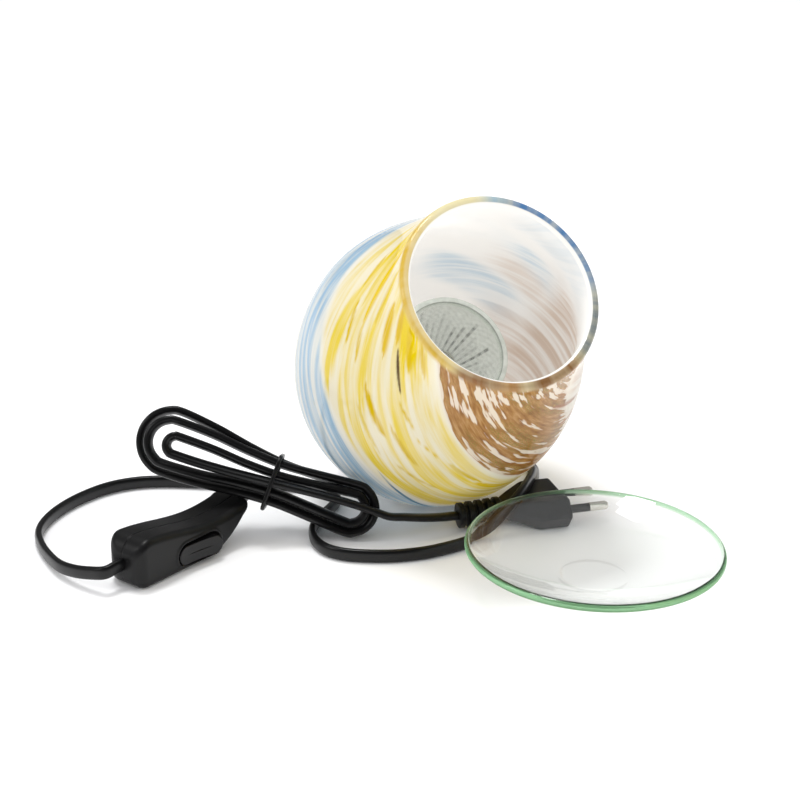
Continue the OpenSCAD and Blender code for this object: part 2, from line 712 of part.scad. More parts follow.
// The rocker is drawn level, then rests with its near end pressed
module switch_rocker() {
    proud = 1.2 * switch_wall;
    dip = switch_wall / 2;
    inside = 2 * trunnion_y - trunnion_d / 4;
    color("black") switch_place() translate([rocker_at, trunnion_y, rocker_z])
        rotate([0, 0, -rocker_turn / 2]) {
            intersection() {
                translate([0, inside, 0]) rocker_stadium(0, inside + 2 * trunnion_y);
                linear_extrude(rocker_h, center = true) polygon([
                    [-rocker_len / 2, -trunnion_y - proud], [0, -trunnion_y - proud + dip],
                    [rocker_len / 2, -trunnion_y - proud], [rocker_len / 2, 0],
                    [rocker_len / 8, trunnion_d], [-rocker_len / 8, trunnion_d], [-rocker_len / 2, 0]]);
            }
            cylinder(d = trunnion_d, h = trunnion_len, center = true, $fn = 48);
        }
}
contact_t = sheet_t * 2 / 3;
bridge_y = trunnion_y + 1.5 * trunnion_d;
contact_y = bridge_y + contact_t + seat_gap;
module switch_contacts() {
    reach = switch_len / 10;
    color("gold") switch_place() for (side = [-1, 1])
        translate([rocker_at + side * rocker_len / 3 - reach / 2, contact_y, rocker_z - rocker_h / 4])
            cube([reach, switch_depth - switch_wall - seat_gap - contact_y, rocker_h / 2]);
}
module switch_bridge() {
    color("gold") switch_place() translate([rocker_at - rocker_len / 3, bridge_y, rocker_z - rocker_h / 5])
        cube([rocker_len * 2 / 3, contact_t, rocker_h * 2 / 5]);
}
module switch_screws() {
    color("silver") switch_place() for (x = switch_posts_x)
        translate([x, switch_depth - screw_head_h, post_z]) rotate([-90, 0, 0])
            screw(switch_depth - screw_head_h - 3 * switch_wall);
}
module switch_cord_grip() {
    grip_y = split_y + cord_t / 2 + seat_gap;
    grip_x = back_round / 3 + switch_wall + seat_gap;
    color("dimgray") switch_place() translate([grip_x, grip_y, blunt_z - cord_w / 2])
        cube([switch_len / 15, switch_depth - switch_wall - seat_gap - grip_y, cord_w]);
}

// Plug. Its own x runs along the pins, from the face they stand in.
plug_mid = plug_h / 2;
module plug_place() { translate([plug_x, plug_y, 0]) rotate([0, 0, plug_turn]) children(); }
function plug_point(v) = [plug_x, plug_y, 0] + turn_z(v, plug_turn);
plug_dir = turn_z([1, 0, 0], plug_turn);
pin_seat = plug_full_len - 2 * seat_gap;
module plug_section(share) {
    w = share * plug_w / 2;
    f = share * plug_flat_w / 2;
    h = share * plug_h / 2;
    polygon([[-w, 0], [-f, -h], [f, -h], [w, 0], [f, h], [-f, h]]);
}
module plug_slice(x, length) {
    translate([x, 0, plug_mid]) rotate([90, 0, 90]) linear_extrude(length) children();
}
module plug_body() {
    neck_t = plug_len / 20;
    color("black") plug_place() difference() {
        union() {
            plug_slice(-plug_full_len, plug_full_len) plug_section(1);
            hull() {
                plug_slice(-plug_full_len - neck_t, neck_t) plug_section(1);
                plug_slice(-plug_len, neck_t) square([relief_d * 1.1, relief_d * 0.7], center = true);
            }
        }
        for (side = [-1, 1]) plug_slice(-pin_seat, plug_full_len + cut)
            translate([side * pin_pitch / 2, 0]) circle(d = pin_core_d + seat_gap / 2, $fn = 48);
    }
}
pin_core_d = sleeve_d - 2 * sleeve_t;
module plug_pins() {
    bare = pin_len - sleeve_len;
    color("silver") plug_place() for (side = [-1, 1]) translate([0, side * pin_pitch / 2, plug_mid])
        rotate([0, 90, 0]) {
            translate([0, 0, seat_gap - pin_seat])
                cylinder(d = pin_core_d, h = pin_seat + sleeve_len, $fn = 48);
            translate([0, 0, sleeve_len]) cylinder(d = pin_d, h = bare - pin_d / 2, $fn = 48);
            translate([0, 0, pin_len - pin_d / 2]) sphere(d = pin_d, $fn = 48);
        }
}
module pin_sleeves() {
    color("black") plug_place() for (side = [-1, 1]) translate([0, side * pin_pitch / 2, plug_mid])
        rotate([0, 90, 0]) difference() {
            cylinder(d = sleeve_d, h = sleeve_len, $fn = 48);
            translate([0, 0, -cut])
                cylinder(d = pin_core_d + seat_gap / 5, h = sleeve_len + 2 * cut, $fn = 48);
        }
}
rib_pitch = relief_len / rib_count;
rib_share = 0.62;
module plug_relief() {
    color("black") plug_place() difference() {
        translate([-plug_len, 0, plug_mid]) rotate([0, -90, 0]) {
            cylinder(d = relief_d * 0.66, h = relief_len);
            for (i = [0:rib_count - 1]) translate([0, 0, rib_pitch * (i + 1 - rib_share)])
                cylinder(d = relief_d * (1 - 0.15 * i / rib_count), h = rib_pitch * rib_share);
        }
        plug_slice(-plug_len - relief_len - cut, relief_len / 2) rotate([0, 0, 90]) cord_section(seat_gap);
    }
}
relief_end = -plug_len - relief_len / 2 - cut;

// Cord. A flat tube runs through route points; up is the direction of its width.
function unit(v) = v / norm(v);
function along(p, i) = unit(p[min(i + 1, len(p) - 1)] - p[max(i - 1, 0)]);
function ring(p, t, up, sides) = let (s = unit(cross(up, t)), w = cross(t, s))
    [for (k = [0:sides - 1]) let (a = 360 * (k + 0.5) / sides)
        p + s * cord_t / 2 * cos(a) + w * cord_w / 2 * sin(a)];
function tube_points(p, first_up, last_up, sides) = [for (i = [0:len(p) - 1])
    let (share = i / (len(p) - 1))
        each ring(p[i], along(p, i), first_up + (last_up - first_up) * share, sides)];
function tube_faces(rings, sides) = concat(
    [for (i = [0:rings - 2], k = [0:sides - 1]) let (a = i * sides + k, b = i * sides + (k + 1) % sides)
        each [[a, a + sides, b], [b, a + sides, b + sides]]],
    [for (k = [1:sides - 2]) [0, k, k + 1]],
    [for (k = [1:sides - 2]) let (z = (rings - 1) * sides) [z, z + k + 1, z + k]]);
module flat_tube(points, rings, sides) {
    polyhedron(points = points, faces = tube_faces(rings, sides), convexity = 10);
}
upright = [0, 0, 1];
route_sides = 8;
straight = cord_w;

// From the base, round behind the plug, over it, along the floor, under the hank and round to the switch
lamp_route = [
    [9.5, 72.5, 4.4], [15.5, 67.5, 3], [18.5, 60, 2.9], [18.3, 51, 4.6], [17.3, 41, 8.4], [16.2, 31.5, 14.2],
    [15.3, 27, 16.6], [14.3, 21, 17], [12.3, 13.5, 17.2], [9.5, 5, 17.2], [5, -2.5, 14.6],
    [-1, -7.5, 9.6], [-7, -11, 5],
    [-14, -15.5, 3], [-22, -21, 2.9], [-32, -26, 2.9], [-44, -29, 2.9], [-55.5, -29.2, 2.9],
    [-65.5, -27.5, 2.9], [-73, -23, 2.9], [-78, -14.5, 2.9], [-79.5, -4, 2.9], [-77.5, 7, 2.9],
    [-73, 17.5, 2.9], [-70, 27.5, 2.9], [-73, 36.5, 2.9], [-81, 42, 2.9], [-92, 44, 2.9], [-105, 45, 2.9],
    [-119, 46.2, 2.9], [-133, 47.3, 2.9], [-147, 48.2, 2.9], [-160, 46.8, 2.9], [-172, 41, 2.9],
    [-182, 30.5, 2.9], [-189.5, 18, 2.9], [-194, 4.5, 2.9], [-194.8, -8, 2.9], [-191.5, -20, 2.9],
    [-186.5, -31, 3.2], [-180.5, -41.5, 4.2], [-173.5, -49, 5.6], [-166, -54.5, 7.4], [-159.8, -57.5, 9]];
lamp_outlet = lamp_point(turn_z([outlet_r, 0, channel_z], outlet_angle));
lamp_outlet_dir = lamp_dir(turn_z([1, 0, 0], outlet_angle));
lamp_outlet_up = lamp_dir(turn_z([0, 1, 0], outlet_angle));
blunt_hole = switch_point([cut, split_y, blunt_z]);
lamp_lead_points = concat(
    [lamp_outlet, lamp_outlet + straight * lamp_outlet_dir],
    lamp_route,
    [blunt_hole - cord_t * switch_dir, blunt_hole]);
// The outlet holds the cord on its flat, and it has turned on edge within a few points
function lamp_up(i) = let (share = min(i / 5, 1)) lamp_outlet_up + (upright - lamp_outlet_up) * share;
module cord_lamp_lead() {
    p = lamp_lead_points;
    color("black") flat_tube([for (i = [0:len(p) - 1]) each ring(p[i], along(p, i), lamp_up(i), route_sides)],
        len(p), route_sides);
}

// Hank. Its own x runs down to the end on the floor, y across it and z towards the viewer.
hank_low_edge = hank_low_r + cord_t / 2;
hank_z = hank_run * sin(hank_slope) * cos(hank_lean) + hank_low_edge * cos(hank_lean)
    + cord_w / 2 * sin(hank_lean) + 4 * body_gap;
function hank_dir(v) = turn_x(turn_z(v, -hank_slope), 90 - hank_lean);
function hank_world(v) = [hank_x, hank_y, hank_z] + hank_dir(v);
hank_up = hank_dir([0, 0, 1]);
run_rings = 5;
bend_rings = 7;
half_rings = run_rings + bend_rings;
hank_loops = 3;
hank_start = 2.7;
hank_rings = 2 * hank_loops * half_rings;
// One radius for each bend in turn, and how far each raised bend stays short
low_bends = [hank_low_r - 0.6 * hank_step, hank_low_r, hank_low_r - hank_step];
high_bends = [hank_high_r, hank_high_r - hank_step, hank_inner_r];
high_short = [0, 0, hank_inner_short];
function half_wave(x) = (1 + cos(min(180, 180 * abs(x - hank_tie_at) / hank_run))) / 2;
function ease(u) = u * u * (3 - 2 * u);
// The first loop lies in the back layer, the next two in the middle one and the last bend in front
function layer_of(h, u) = h == 0 || h == 1 ? -hank_layer
    : h == 2 ? -hank_layer * (1 - ease(min(1.8 * u, 1)))
    : h == 5 ? hank_layer * ease(min(u, 1)) : 0;
// Ring i of the loops: odd halves run back along the top, even ones along the bottom
function hank_local(i) = let (
    h = floor(i / half_rings),
    k = i % half_rings,
    loop = floor(h / 2),
    top = h % 2 == 1,
    u = k / run_rings,
    low = low_bends[loop],
    high = h == 0 ? hank_high_r + hank_step : high_bends[top ? loop : loop - 1],
    left = hank_run - high_short[top ? loop : max(loop - 1, 0)],
    z = layer_of(h, u))
    k < run_rings && top ? let (x = hank_run - (hank_run + left) * u)
        [x, low + (high - low) * u - hank_pinch * half_wave(x), z]
    : k < run_rings ? let (x = (hank_run + left) * u - left)
        [x, hank_pinch * half_wave(x) - high - (low - high) * u, z]
    : let (r = top ? high : low, x = top ? -left : hank_run,
        a = 180 * (k - run_rings) / bend_rings - (top ? -90 : 90))
        [x + r * cos(a), r * sin(a), z];
// The last run crosses the low bends in the front layer and leaves for the plug
exit_rings = 9;
exit_y = 2.5;
exit_over = 2 * cord_w;
function exit_local(u) = let (from = hank_inner_short - hank_run)
    [from + (hank_run + exit_over - from) * u, -hank_inner_r + (exit_y + hank_inner_r) * ease(u), hank_layer];
hank_points = concat(
    [hank_world(hank_local(hank_start))],
    [for (i = [ceil(hank_start):hank_rings - 1]) hank_world(hank_local(i))],
    [for (i = [0:exit_rings]) hank_world(exit_local(i / exit_rings))]);
hank_sides = 6;
hank_total = len(hank_points);
// The cord's front edge leans outwards in the loops, and comes back square over the last rings at each end
function hank_ring_up(i) = let (a = hank_tilt * min(1, i / 6, (hank_total - 1 - i) / 6))
    cos(a) * hank_up + sin(a) * cross(along(hank_points, i), hank_up);
hank_tube = [for (i = [0:hank_total - 1])
    each ring(hank_points[i], along(hank_points, i), hank_ring_up(i), hank_sides)];
hank_gap = min([for (i = [0:hank_total - 1], j = [i + 6:hank_total - 1])
    if (j < hank_total && norm(hank_points[i] - hank_points[j]) < 3 * cord_w)
        min([for (a = [0:hank_sides - 1], b = [0:hank_sides - 1])
            norm(hank_tube[i * hank_sides + a] - hank_tube[j * hank_sides + b])])]);
echo(hank_loops = hank_loops, hank_gap = hank_gap);
module cord_hank() {
    color("black") flat_tube(hank_tube, hank_total, hank_sides);
}
module tie_outline(grow) {
    half = norm([cord_t * cos(hank_tilt), cord_w * sin(hank_tilt)]) / 2 + seat_gap;
    top = hank_low_r - hank_pinch + half + body_gap;
    low = hank_high_r - hank_pinch + half - cord_t / 2 + 2 * body_gap;
    side = hank_layer + cord_w / 2 + body_gap;
    translate([-side - grow, -low - grow]) square([2 * (side + grow), low + top + 2 * grow]);
}
module hank_tie() {
    color("black") translate([hank_x, hank_y, hank_z]) rotate([90 - hank_lean, 0, 0])
        rotate([0, 0, -hank_slope])
        translate([hank_tie_at, 0, 0]) rotate([0, 90, 0]) linear_extrude(tie_t, center = true)
            difference() {
                tie_outline(tie_t);
                tie_outline(0);
            }
}

// From the switch's raised tip to the hank's first strand
tip_hole = switch_point([switch_len - 0.8 * slot_len, split_y, tip_z]);
hank_first_dir = along(hank_points, 0);
switch_route = [[-109.8, 4, 13.8]];
switch_lead_points = concat([tip_hole, tip_hole + straight * switch_dir], switch_route,
    [hank_points[0] - straight * hank_first_dir, hank_points[0]]);
module cord_switch_lead() {
    p = switch_lead_points;
    color("black") flat_tube(tube_points(p, upright, hank_up, route_sides), len(p), route_sides);
}

// From the hank's last strand to the plug
hank_last = hank_points[hank_total - 1];
hank_last_dir = along(hank_points, hank_total - 1);
plug_hole = plug_point([relief_end, 0, plug_mid]);
plug_route = [[-40.8, -9.4, 11.4], [-33.3, -5.6, 9.4], [-26, -1.2, 7.6]];
plug_lead_points = concat([hank_last, hank_last + straight * hank_last_dir], plug_route,
    [plug_hole - 2 * straight * plug_dir, plug_hole]);
module cord_plug_lead() {
    p = plug_lead_points;
    color("black")
        flat_tube(tube_points(p, hank_up, cross(plug_dir, upright), route_sides), len(p), route_sides);
}

glass_body();
base_plate();
base_gasket();
foot_pads();
glass_clips();
clip_screws();
socket_bracket();
bracket_screws();
socket_body();
socket_cap();
socket_contacts();
socket_screws();
terminal_block();
terminal_screws();
mains_cores();
socket_leads();
cord_bushing();
cord_tail();
bulb_reflector();
bulb_cover_glass();
bulb_capsule();
bulb_filament();
bulb_base();
bulb_pins();
glass_dish();
switch_front_shell();
switch_back_shell();
switch_rocker();
switch_contacts();
switch_bridge();
switch_screws();
switch_cord_grip();
plug_body();
plug_pins();
pin_sleeves();
plug_relief();
cord_lamp_lead();
cord_switch_lead();
cord_hank();
cord_plug_lead();
hank_tie();
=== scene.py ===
import bpy
import math
import numpy as np
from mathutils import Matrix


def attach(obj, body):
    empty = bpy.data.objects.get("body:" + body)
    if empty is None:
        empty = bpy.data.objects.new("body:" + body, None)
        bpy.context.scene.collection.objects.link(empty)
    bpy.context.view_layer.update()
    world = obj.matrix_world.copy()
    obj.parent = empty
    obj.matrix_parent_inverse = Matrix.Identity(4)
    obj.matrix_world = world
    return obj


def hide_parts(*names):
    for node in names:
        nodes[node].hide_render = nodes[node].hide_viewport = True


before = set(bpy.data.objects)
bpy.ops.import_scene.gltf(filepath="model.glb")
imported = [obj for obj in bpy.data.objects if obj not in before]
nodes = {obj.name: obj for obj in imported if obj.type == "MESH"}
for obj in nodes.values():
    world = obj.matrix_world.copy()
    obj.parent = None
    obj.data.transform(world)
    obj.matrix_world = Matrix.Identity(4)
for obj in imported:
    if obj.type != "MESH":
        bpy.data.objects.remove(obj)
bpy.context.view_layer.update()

# Camera: above the floor, looking down at the lamp's mouth
camera_data = bpy.data.cameras.new("camera")
camera_data.lens = 90
camera_data.sensor_width = 36
camera_data.clip_start = 0.02
camera_data.clip_end = 50
camera = bpy.data.objects.new("camera", camera_data)
camera.location = (-0.0425, -0.77504, 0.35793)
camera.rotation_euler = (math.radians(69), 0, 0)
bpy.context.collection.objects.link(camera)
bpy.context.scene.camera = camera
bpy.context.scene.view_settings.view_transform = "Standard"

MM = 0.001
TAU = 2 * math.pi


# Surfaces
def turned(angle, axis):
    """Matrix of a turn by an angle in degrees about x, y or z."""
    c, s = math.cos(math.radians(angle)), math.sin(math.radians(angle))
    return np.array(
        {
            "x": [[1, 0, 0], [0, c, -s], [0, s, c]],
            "y": [[c, 0, s], [0, 1, 0], [-s, 0, c]],
            "z": [[c, -s, 0], [s, c, 0], [0, 0, 1]],
        }[axis],
        dtype=float,
    )


def circle(count):
    """Even angles once round, in radians."""
    return np.linspace(0, TAU, count, endpoint=False)


def arc(low, high, count):
    """Even angles from one in degrees to another, in radians."""
    return np.radians(np.linspace(low, high, count))


def smooth(low, high, x):
    """0 below low, 1 above high, and a soft S between them."""
    u = np.clip((x - low) / (high - low), 0, 1)
    return u * u * (3 - 2 * u)


def fade(low, high, x):
    """1 below low and 0 above high."""
    return 1 - smooth(low, high, x)


def grid(points, close_rows=False, caps=False):
    """Joins a grid of points with quads, closed round its columns. Caps close the end rows."""
    rows, columns = points.shape[:2]
    i = np.arange(rows if close_rows else rows - 1)[:, None] * columns
    j = np.arange(columns)
    i2, j2 = (i + columns) % (rows * columns), (j + 1) % columns
    faces = np.stack([i + j, i + j2, i2 + j2, i2 + j], -1).reshape(-1, 4).tolist()
    flat = points.reshape(-1, 3)
    if caps:
        for row, order in ((0, -1), (rows - 1, 1)):
            edge = row * columns + np.stack([j, j2][::order], -1)
            faces += np.column_stack([edge, np.full(columns, len(flat))]).tolist()
            flat = np.vstack([flat, points[row].mean(0)])
    return flat, faces


def piece(name, surface, material, stands_for, sharp=40, body="lamp"):
    """A mesh from points in millimetres, riding on a body. Its volume's sign turns its faces outwards."""
    points, faces = surface
    points = np.asarray(points, float)
    corner = np.array([f[:3] for f in faces])
    rest = np.array([[f[0], f[2], f[3]] for f in faces if len(f) == 4]).reshape(-1, 3)
    tri = np.vstack([corner, rest])
    a, b, c = (points[tri[:, k]] - points.mean(0) for k in range(3))
    if np.einsum("ij,ij->i", a, np.cross(b, c)).sum() < 0:
        faces = [f[::-1] for f in faces]
    mesh = bpy.data.meshes.new(name)
    mesh.from_pydata((points * MM).tolist(), [], faces)
    mesh.update()
    mesh.polygons.foreach_set("use_smooth", np.ones(len(mesh.polygons), bool))
    mesh.set_sharp_from_angle(angle=math.radians(sharp))
    thing = bpy.data.objects.new(name, mesh)
    bpy.context.collection.objects.link(thing)
    mesh.materials.append(material)
    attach(thing, body)
    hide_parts(*stands_for)
    return thing


def join(*surfaces):
    """Several surfaces as one list of points and faces."""
    points, faces, start = [], [], 0
    for p, f in surfaces:
        points.append(p)
        faces += [[i + start for i in face] for face in f]
        start += len(p)
    return np.vstack(points), faces


def attribute(thing, name, kind, values):
    """Stores one value for each point: a number, a vector or a colour."""
    made = thing.data.attributes.new(name, kind, "POINT")
    field = {"FLOAT": "value", "FLOAT_VECTOR": "vector", "FLOAT_COLOR": "color"}[kind]
    made.data.foreach_set(field, np.ascontiguousarray(values, dtype=np.float32).ravel())


def lathe(profile, count):
    """Turns (radius, height) pairs about the z axis."""
    a = circle(count)
    r, z = profile[:, 0, None], profile[:, 1, None]
    return np.stack([r * np.cos(a), r * np.sin(a), np.broadcast_to(z, (len(profile), count))], -1)


def closed_lathe(profile, count):
    """A turned solid whose profile starts and ends near the axis."""
    return grid(lathe(profile, count), caps=True)


def laid(surface, move):
    """A surface with its points moved."""
    points, faces = surface
    return move(points), faces


def rounded(corners, radius, steps):
    """A convex outline with round corners. Each corner is stepped in by the mitre and gets an arc between
    its edge normals."""
    p = np.asarray(corners, float)
    edge = np.roll(p, -1, 0) - p
    edge /= np.linalg.norm(edge, axis=1, keepdims=True)
    after = np.stack([edge[:, 1], -edge[:, 0]], -1)
    before = np.roll(after, 1, 0)
    inner = p - radius * (before + after) / (1 + np.sum(before * after, 1, keepdims=True))
    a0 = np.arctan2(before[:, 1], before[:, 0])
    turn = (np.arctan2(after[:, 1], after[:, 0]) - a0 + math.pi) % TAU - math.pi
    a = a0[:, None] + turn[:, None] * np.linspace(0, 1, steps)[None, :]
    arcs = inner[:, None, :] + radius * np.stack([np.cos(a), np.sin(a)], -1)
    return arcs.reshape(-1, 2)


def place(turn, spot, start=(0, 0, 0)):
    """The move that takes points from a body's own axes to the world."""
    return lambda points: (np.asarray(points, float) - start) @ turn.T + spot


# Places of the bodies, as in the part's source, in millimetres
LAMP_SPOT, LAMP_TURN = [-25, 33.6, 66.309], turned(24, "z") @ turned(50, "x")
OUTLET_TURN = LAMP_TURN @ turned(-35, "z")
BELLY_Z = 64.0
BELLY = [0, 0, BELLY_Z]
BULB_FACE = [0.5, -3.5, 81.6]
SWITCH_TURN, PLUG_TURN = turned(52, "z"), turned(16, "z")
HANK_TURN = turned(70, "x") @ turned(-20, "z")
DISH_LEAN, DISH_FOOT_R = 1.6, 14
DISH_Z = DISH_FOOT_R * math.sin(math.radians(DISH_LEAN)) * math.sqrt(2)
lamp_world = place(LAMP_TURN, LAMP_SPOT, BELLY)
outlet_world = place(OUTLET_TURN, LAMP_SPOT, BELLY)
switch_world = place(SWITCH_TURN, [-145.9, -57.9, 0])
plug_world = place(PLUG_TURN, [26.2, 15, 0])
hank_world = place(HANK_TURN, [-101.2, 0.4, 26.32])
dish_world = place(turned(DISH_LEAN, "y") @ turned(DISH_LEAN, "x"), [35.4, -46.5, DISH_Z])


def bulb_world(points):
    """From the bulb's face to the world."""
    return outlet_world(points + BULB_FACE)


# Materials
def linear(code):
    """An sRGB hex colour as linear red, green, blue and 1."""
    c = np.array([int(code[i : i + 2], 16) for i in (1, 3, 5)]) / 255
    return (*np.where(c <= 0.04045, c / 12.92, ((c + 0.055) / 1.055) ** 2.4), 1.0)


def wire(node, **links):
    """Sets a node's inputs, by name or by _number, to values or to other nodes' outputs."""
    for key, value in links.items():
        number = key[1:] if key[0] == "_" else ""
        socket = node.inputs[int(number) if number.isdigit() else key.replace("_", " ")]
        if isinstance(value, bpy.types.NodeSocket):
            node.id_data.links.new(value, socket)
        else:
            socket.default_value = value


def add(tree, kind, settings=None, out=0, **links):
    """Adds a node with its properties set and its inputs wired. Returns one of its outputs."""
    node = tree.nodes.new("ShaderNode" + kind)
    for key, value in (settings or {}).items():
        setattr(node, key, value)
    wire(node, **links)
    return node.outputs[out]


def stored(tree, name, out="Fac"):
    """A value that the mesh's points hold."""
    return add(tree, "Attribute", {"attribute_name": name}, out)


def maths(tree, kind, a, b):
    """A sum of two numbers, kept between 0 and 1."""
    return add(tree, "Math", {"operation": kind, "use_clamp": True}, _0=a, _1=b)


def mix(tree, factor, a, b):
    return add(tree, "Mix", {"data_type": "RGBA"}, 2, _0=factor, _6=a, _7=b)


def finish(name, **sockets):
    """A new material whose Principled BSDF has these inputs. Returns material, tree and shader."""
    material = bpy.data.materials.new(name)
    material.use_nodes = True
    tree = material.node_tree
    shader = tree.nodes["Principled BSDF"]
    wire(shader, **sockets)
    return material, tree, shader


def ramp(tree, value, *stops):
    """A colour ramp through (place, hex colour) stops."""
    colour = add(tree, "ValToRGB", _0=value)
    elements = colour.node.color_ramp.elements
    while len(elements) < len(stops):
        elements.new(0.5)
    for element, (at, code) in zip(elements, stops):
        element.position = at
        element.color = linear(code)
    return colour


def grain(tree, size_mm, detail=3.0, vector=None, stretch=(1, 1, 1)):
    """Noise whose features are about size_mm across, on Object coordinates or a given vector in metres."""
    if vector is None:
        vector = add(tree, "TexCoord", out="Object")
    mapped = add(tree, "Mapping", Vector=vector, Scale=stretch)
    return add(tree, "TexNoise", Vector=mapped, Scale=1 / (size_mm * MM), Detail=detail)


def plain(name, dark, light, size_mm, rough, bump_mm=0.0, level=0.5, **sockets):
    """A moulded or drawn surface: two near colours in a fine grain, a roughness spread and a small relief."""
    material, tree, shader = finish(name, Specular_IOR_Level=level, **sockets)
    speck = grain(tree, size_mm)
    spread = add(tree, "MapRange", Value=speck, To_Min=rough[0], To_Max=rough[1])
    wire(shader, Base_Color=ramp(tree, speck, (0.3, dark), (0.7, light)), Roughness=spread)
    if bump_mm:
        wire(shader, Normal=add(tree, "Bump", Strength=1.0, Distance=bump_mm * MM, Height=speck))
    return material


# PVC sheath, extruded: nearly black and smooth, with a soft gloss that draws clean lines along its edges
pvc_cord = plain("extruded_pvc_sheath", "#070708", "#0c0c0d", 1.1, (0.30, 0.34), IOR=1.52, level=0.34)
# ABS shell, moulded in a spark-eroded tool: fine even grain that breaks up the highlights
abs_case = plain("moulded_abs_case", "#09090a", "#101011", 0.35, (0.36, 0.50), 0.02, IOR=1.53, level=0.26)
# ABS rocker, moulded in a polished tool: a narrower, clearer gloss than the shell's
abs_rocker = plain("polished_abs_rocker", "#08080a", "#0d0d0e", 0.8, (0.24, 0.28), IOR=1.53, level=0.30)
# Plug body, soft PVC overmoulded on the pins: satin, with a little uneven gloss
pvc_plug = plain("overmoulded_pvc_plug", "#0a0a0b", "#121213", 0.5, (0.40, 0.44), IOR=1.52, level=0.28)
# Insulating pin sleeves, moulded polyamide: smooth, with an even sheen
sleeve_black = plain("polyamide_sleeve", "#141415", "#1c1c1d", 0.6, (0.30, 0.42), IOR=1.53)
# Brass pins, turned and nickel-plated: bright and smooth, slightly cloudy
nickel = plain("nickel_plated_pin", "#d2cfc6", "#eeebe3", 0.5, (0.16, 0.26), Metallic=0.6)
# Zinc-plated steel: cool grey, slightly cloudy
zinc = plain("zinc_plated_steel", "#9c9d9e", "#b6b7b8", 1.5, (0.26, 0.42), 0.004, Metallic=1.0)
# Stamped brass contacts: yellow metal, a little worn by the press
brass = plain("stamped_brass", "#b08d49", "#c9a662", 1.2, (0.24, 0.38), 0.003, Metallic=1.0)
# Steatite, fired and glazed: warm white with faint specks
steatite = plain("glazed_steatite", "#ded9cb", "#ece8dc", 0.9, (0.16, 0.26), 0.01, IOR=1.56)
# Terminal block, moulded in natural polyamide: milky white and half matte
polyamide = plain("natural_polyamide", "#dcdad2", "#e8e6df", 1.0, (0.38, 0.5), 0.005, IOR=1.53)
# Powder-coated steel plate: light grey with orange-peel relief
powder_coat = plain("powder_coated_steel", "#b5b5b6", "#c0c0c1", 0.9, (0.34, 0.44), 0.02, IOR=1.5)
# Moulded EPDM rubber: black and matte, with dust-fine grain
epdm = plain("epdm_rubber", "#101010", "#1a1a1a", 0.6, (0.62, 0.78), 0.02, IOR=1.51)
# Felted rubber foot pads: grey and quite matte, with a coarse nap
pad_rubber = plain("grey_foot_rubber", "#4c4c4e", "#5c5c5e", 0.5, (0.7, 0.85), 0.04, IOR=1.51)
# Braided lead sleeves dipped in silicone: cream, with the braid's fine relief
lead_sleeve = plain("silicone_lead_sleeve", "#c9bfa6", "#d8cfb8", 0.4, (0.5, 0.65), 0.03, IOR=1.43)
# Core insulation, extruded PVC: brown and smooth
brown_core = plain("brown_core_insulation", "#4a2816", "#5a3420", 0.7, (0.35, 0.5), IOR=1.52)
# Tungsten, drawn to wire: dull grey metal
tungsten = plain("drawn_tungsten", "#5c5c5e", "#747476", 0.2, (0.4, 0.5), Metallic=1.0)

# Cords
CORD_W, CORD_T = 5.5, 3.3
UPRIGHT = np.array([0.0, 0, 1])


def unit(v):
    return v / np.linalg.norm(v, axis=-1, keepdims=True)


def through(points, steps):
    """A smooth curve through all points, parallel at each to the line between its neighbours."""
    p = np.vstack([2 * points[0] - points[1], points, 2 * points[-1] - points[-2]])
    u = (np.arange(steps) / steps)[None, :, None]
    a, b, c, d = (p[k : len(p) - 3 + k, None, :] for k in range(4))
    curve = 0.5 * (2 * b + (c - a) * u + (2 * a - 5 * b + 4 * c - d) * u**2 + (3 * b - 3 * c + d - a) * u**3)
    return np.vstack([curve.reshape(-1, points.shape[1]), points[-1:]])


def squarish(x, power):
    """A cosine or sine swollen towards its limits, which turns a circle into a round-cornered square."""
    return np.sign(x) * np.abs(x) ** power


def flat_cord(route, ups, steps=6):
    """A flat sheath along a route: a squarish oval carried along the curve, its width held along ups.
    Returns the surface and its middle line."""
    line, up = (through(np.asarray(points, float), steps) for points in (route, ups))
    t = unit(np.gradient(line, axis=0))
    side = unit(np.cross(up, t))
    wide = np.cross(t, side)
    a = circle(48)
    x = CORD_T / 2 * squarish(np.cos(a), 0.74)[None, :, None]
    y = CORD_W / 2 * squarish(np.sin(a), 0.80)[None, :, None]
    return grid(line[:, None] + side[:, None] * x + wide[:, None] * y, caps=True), line


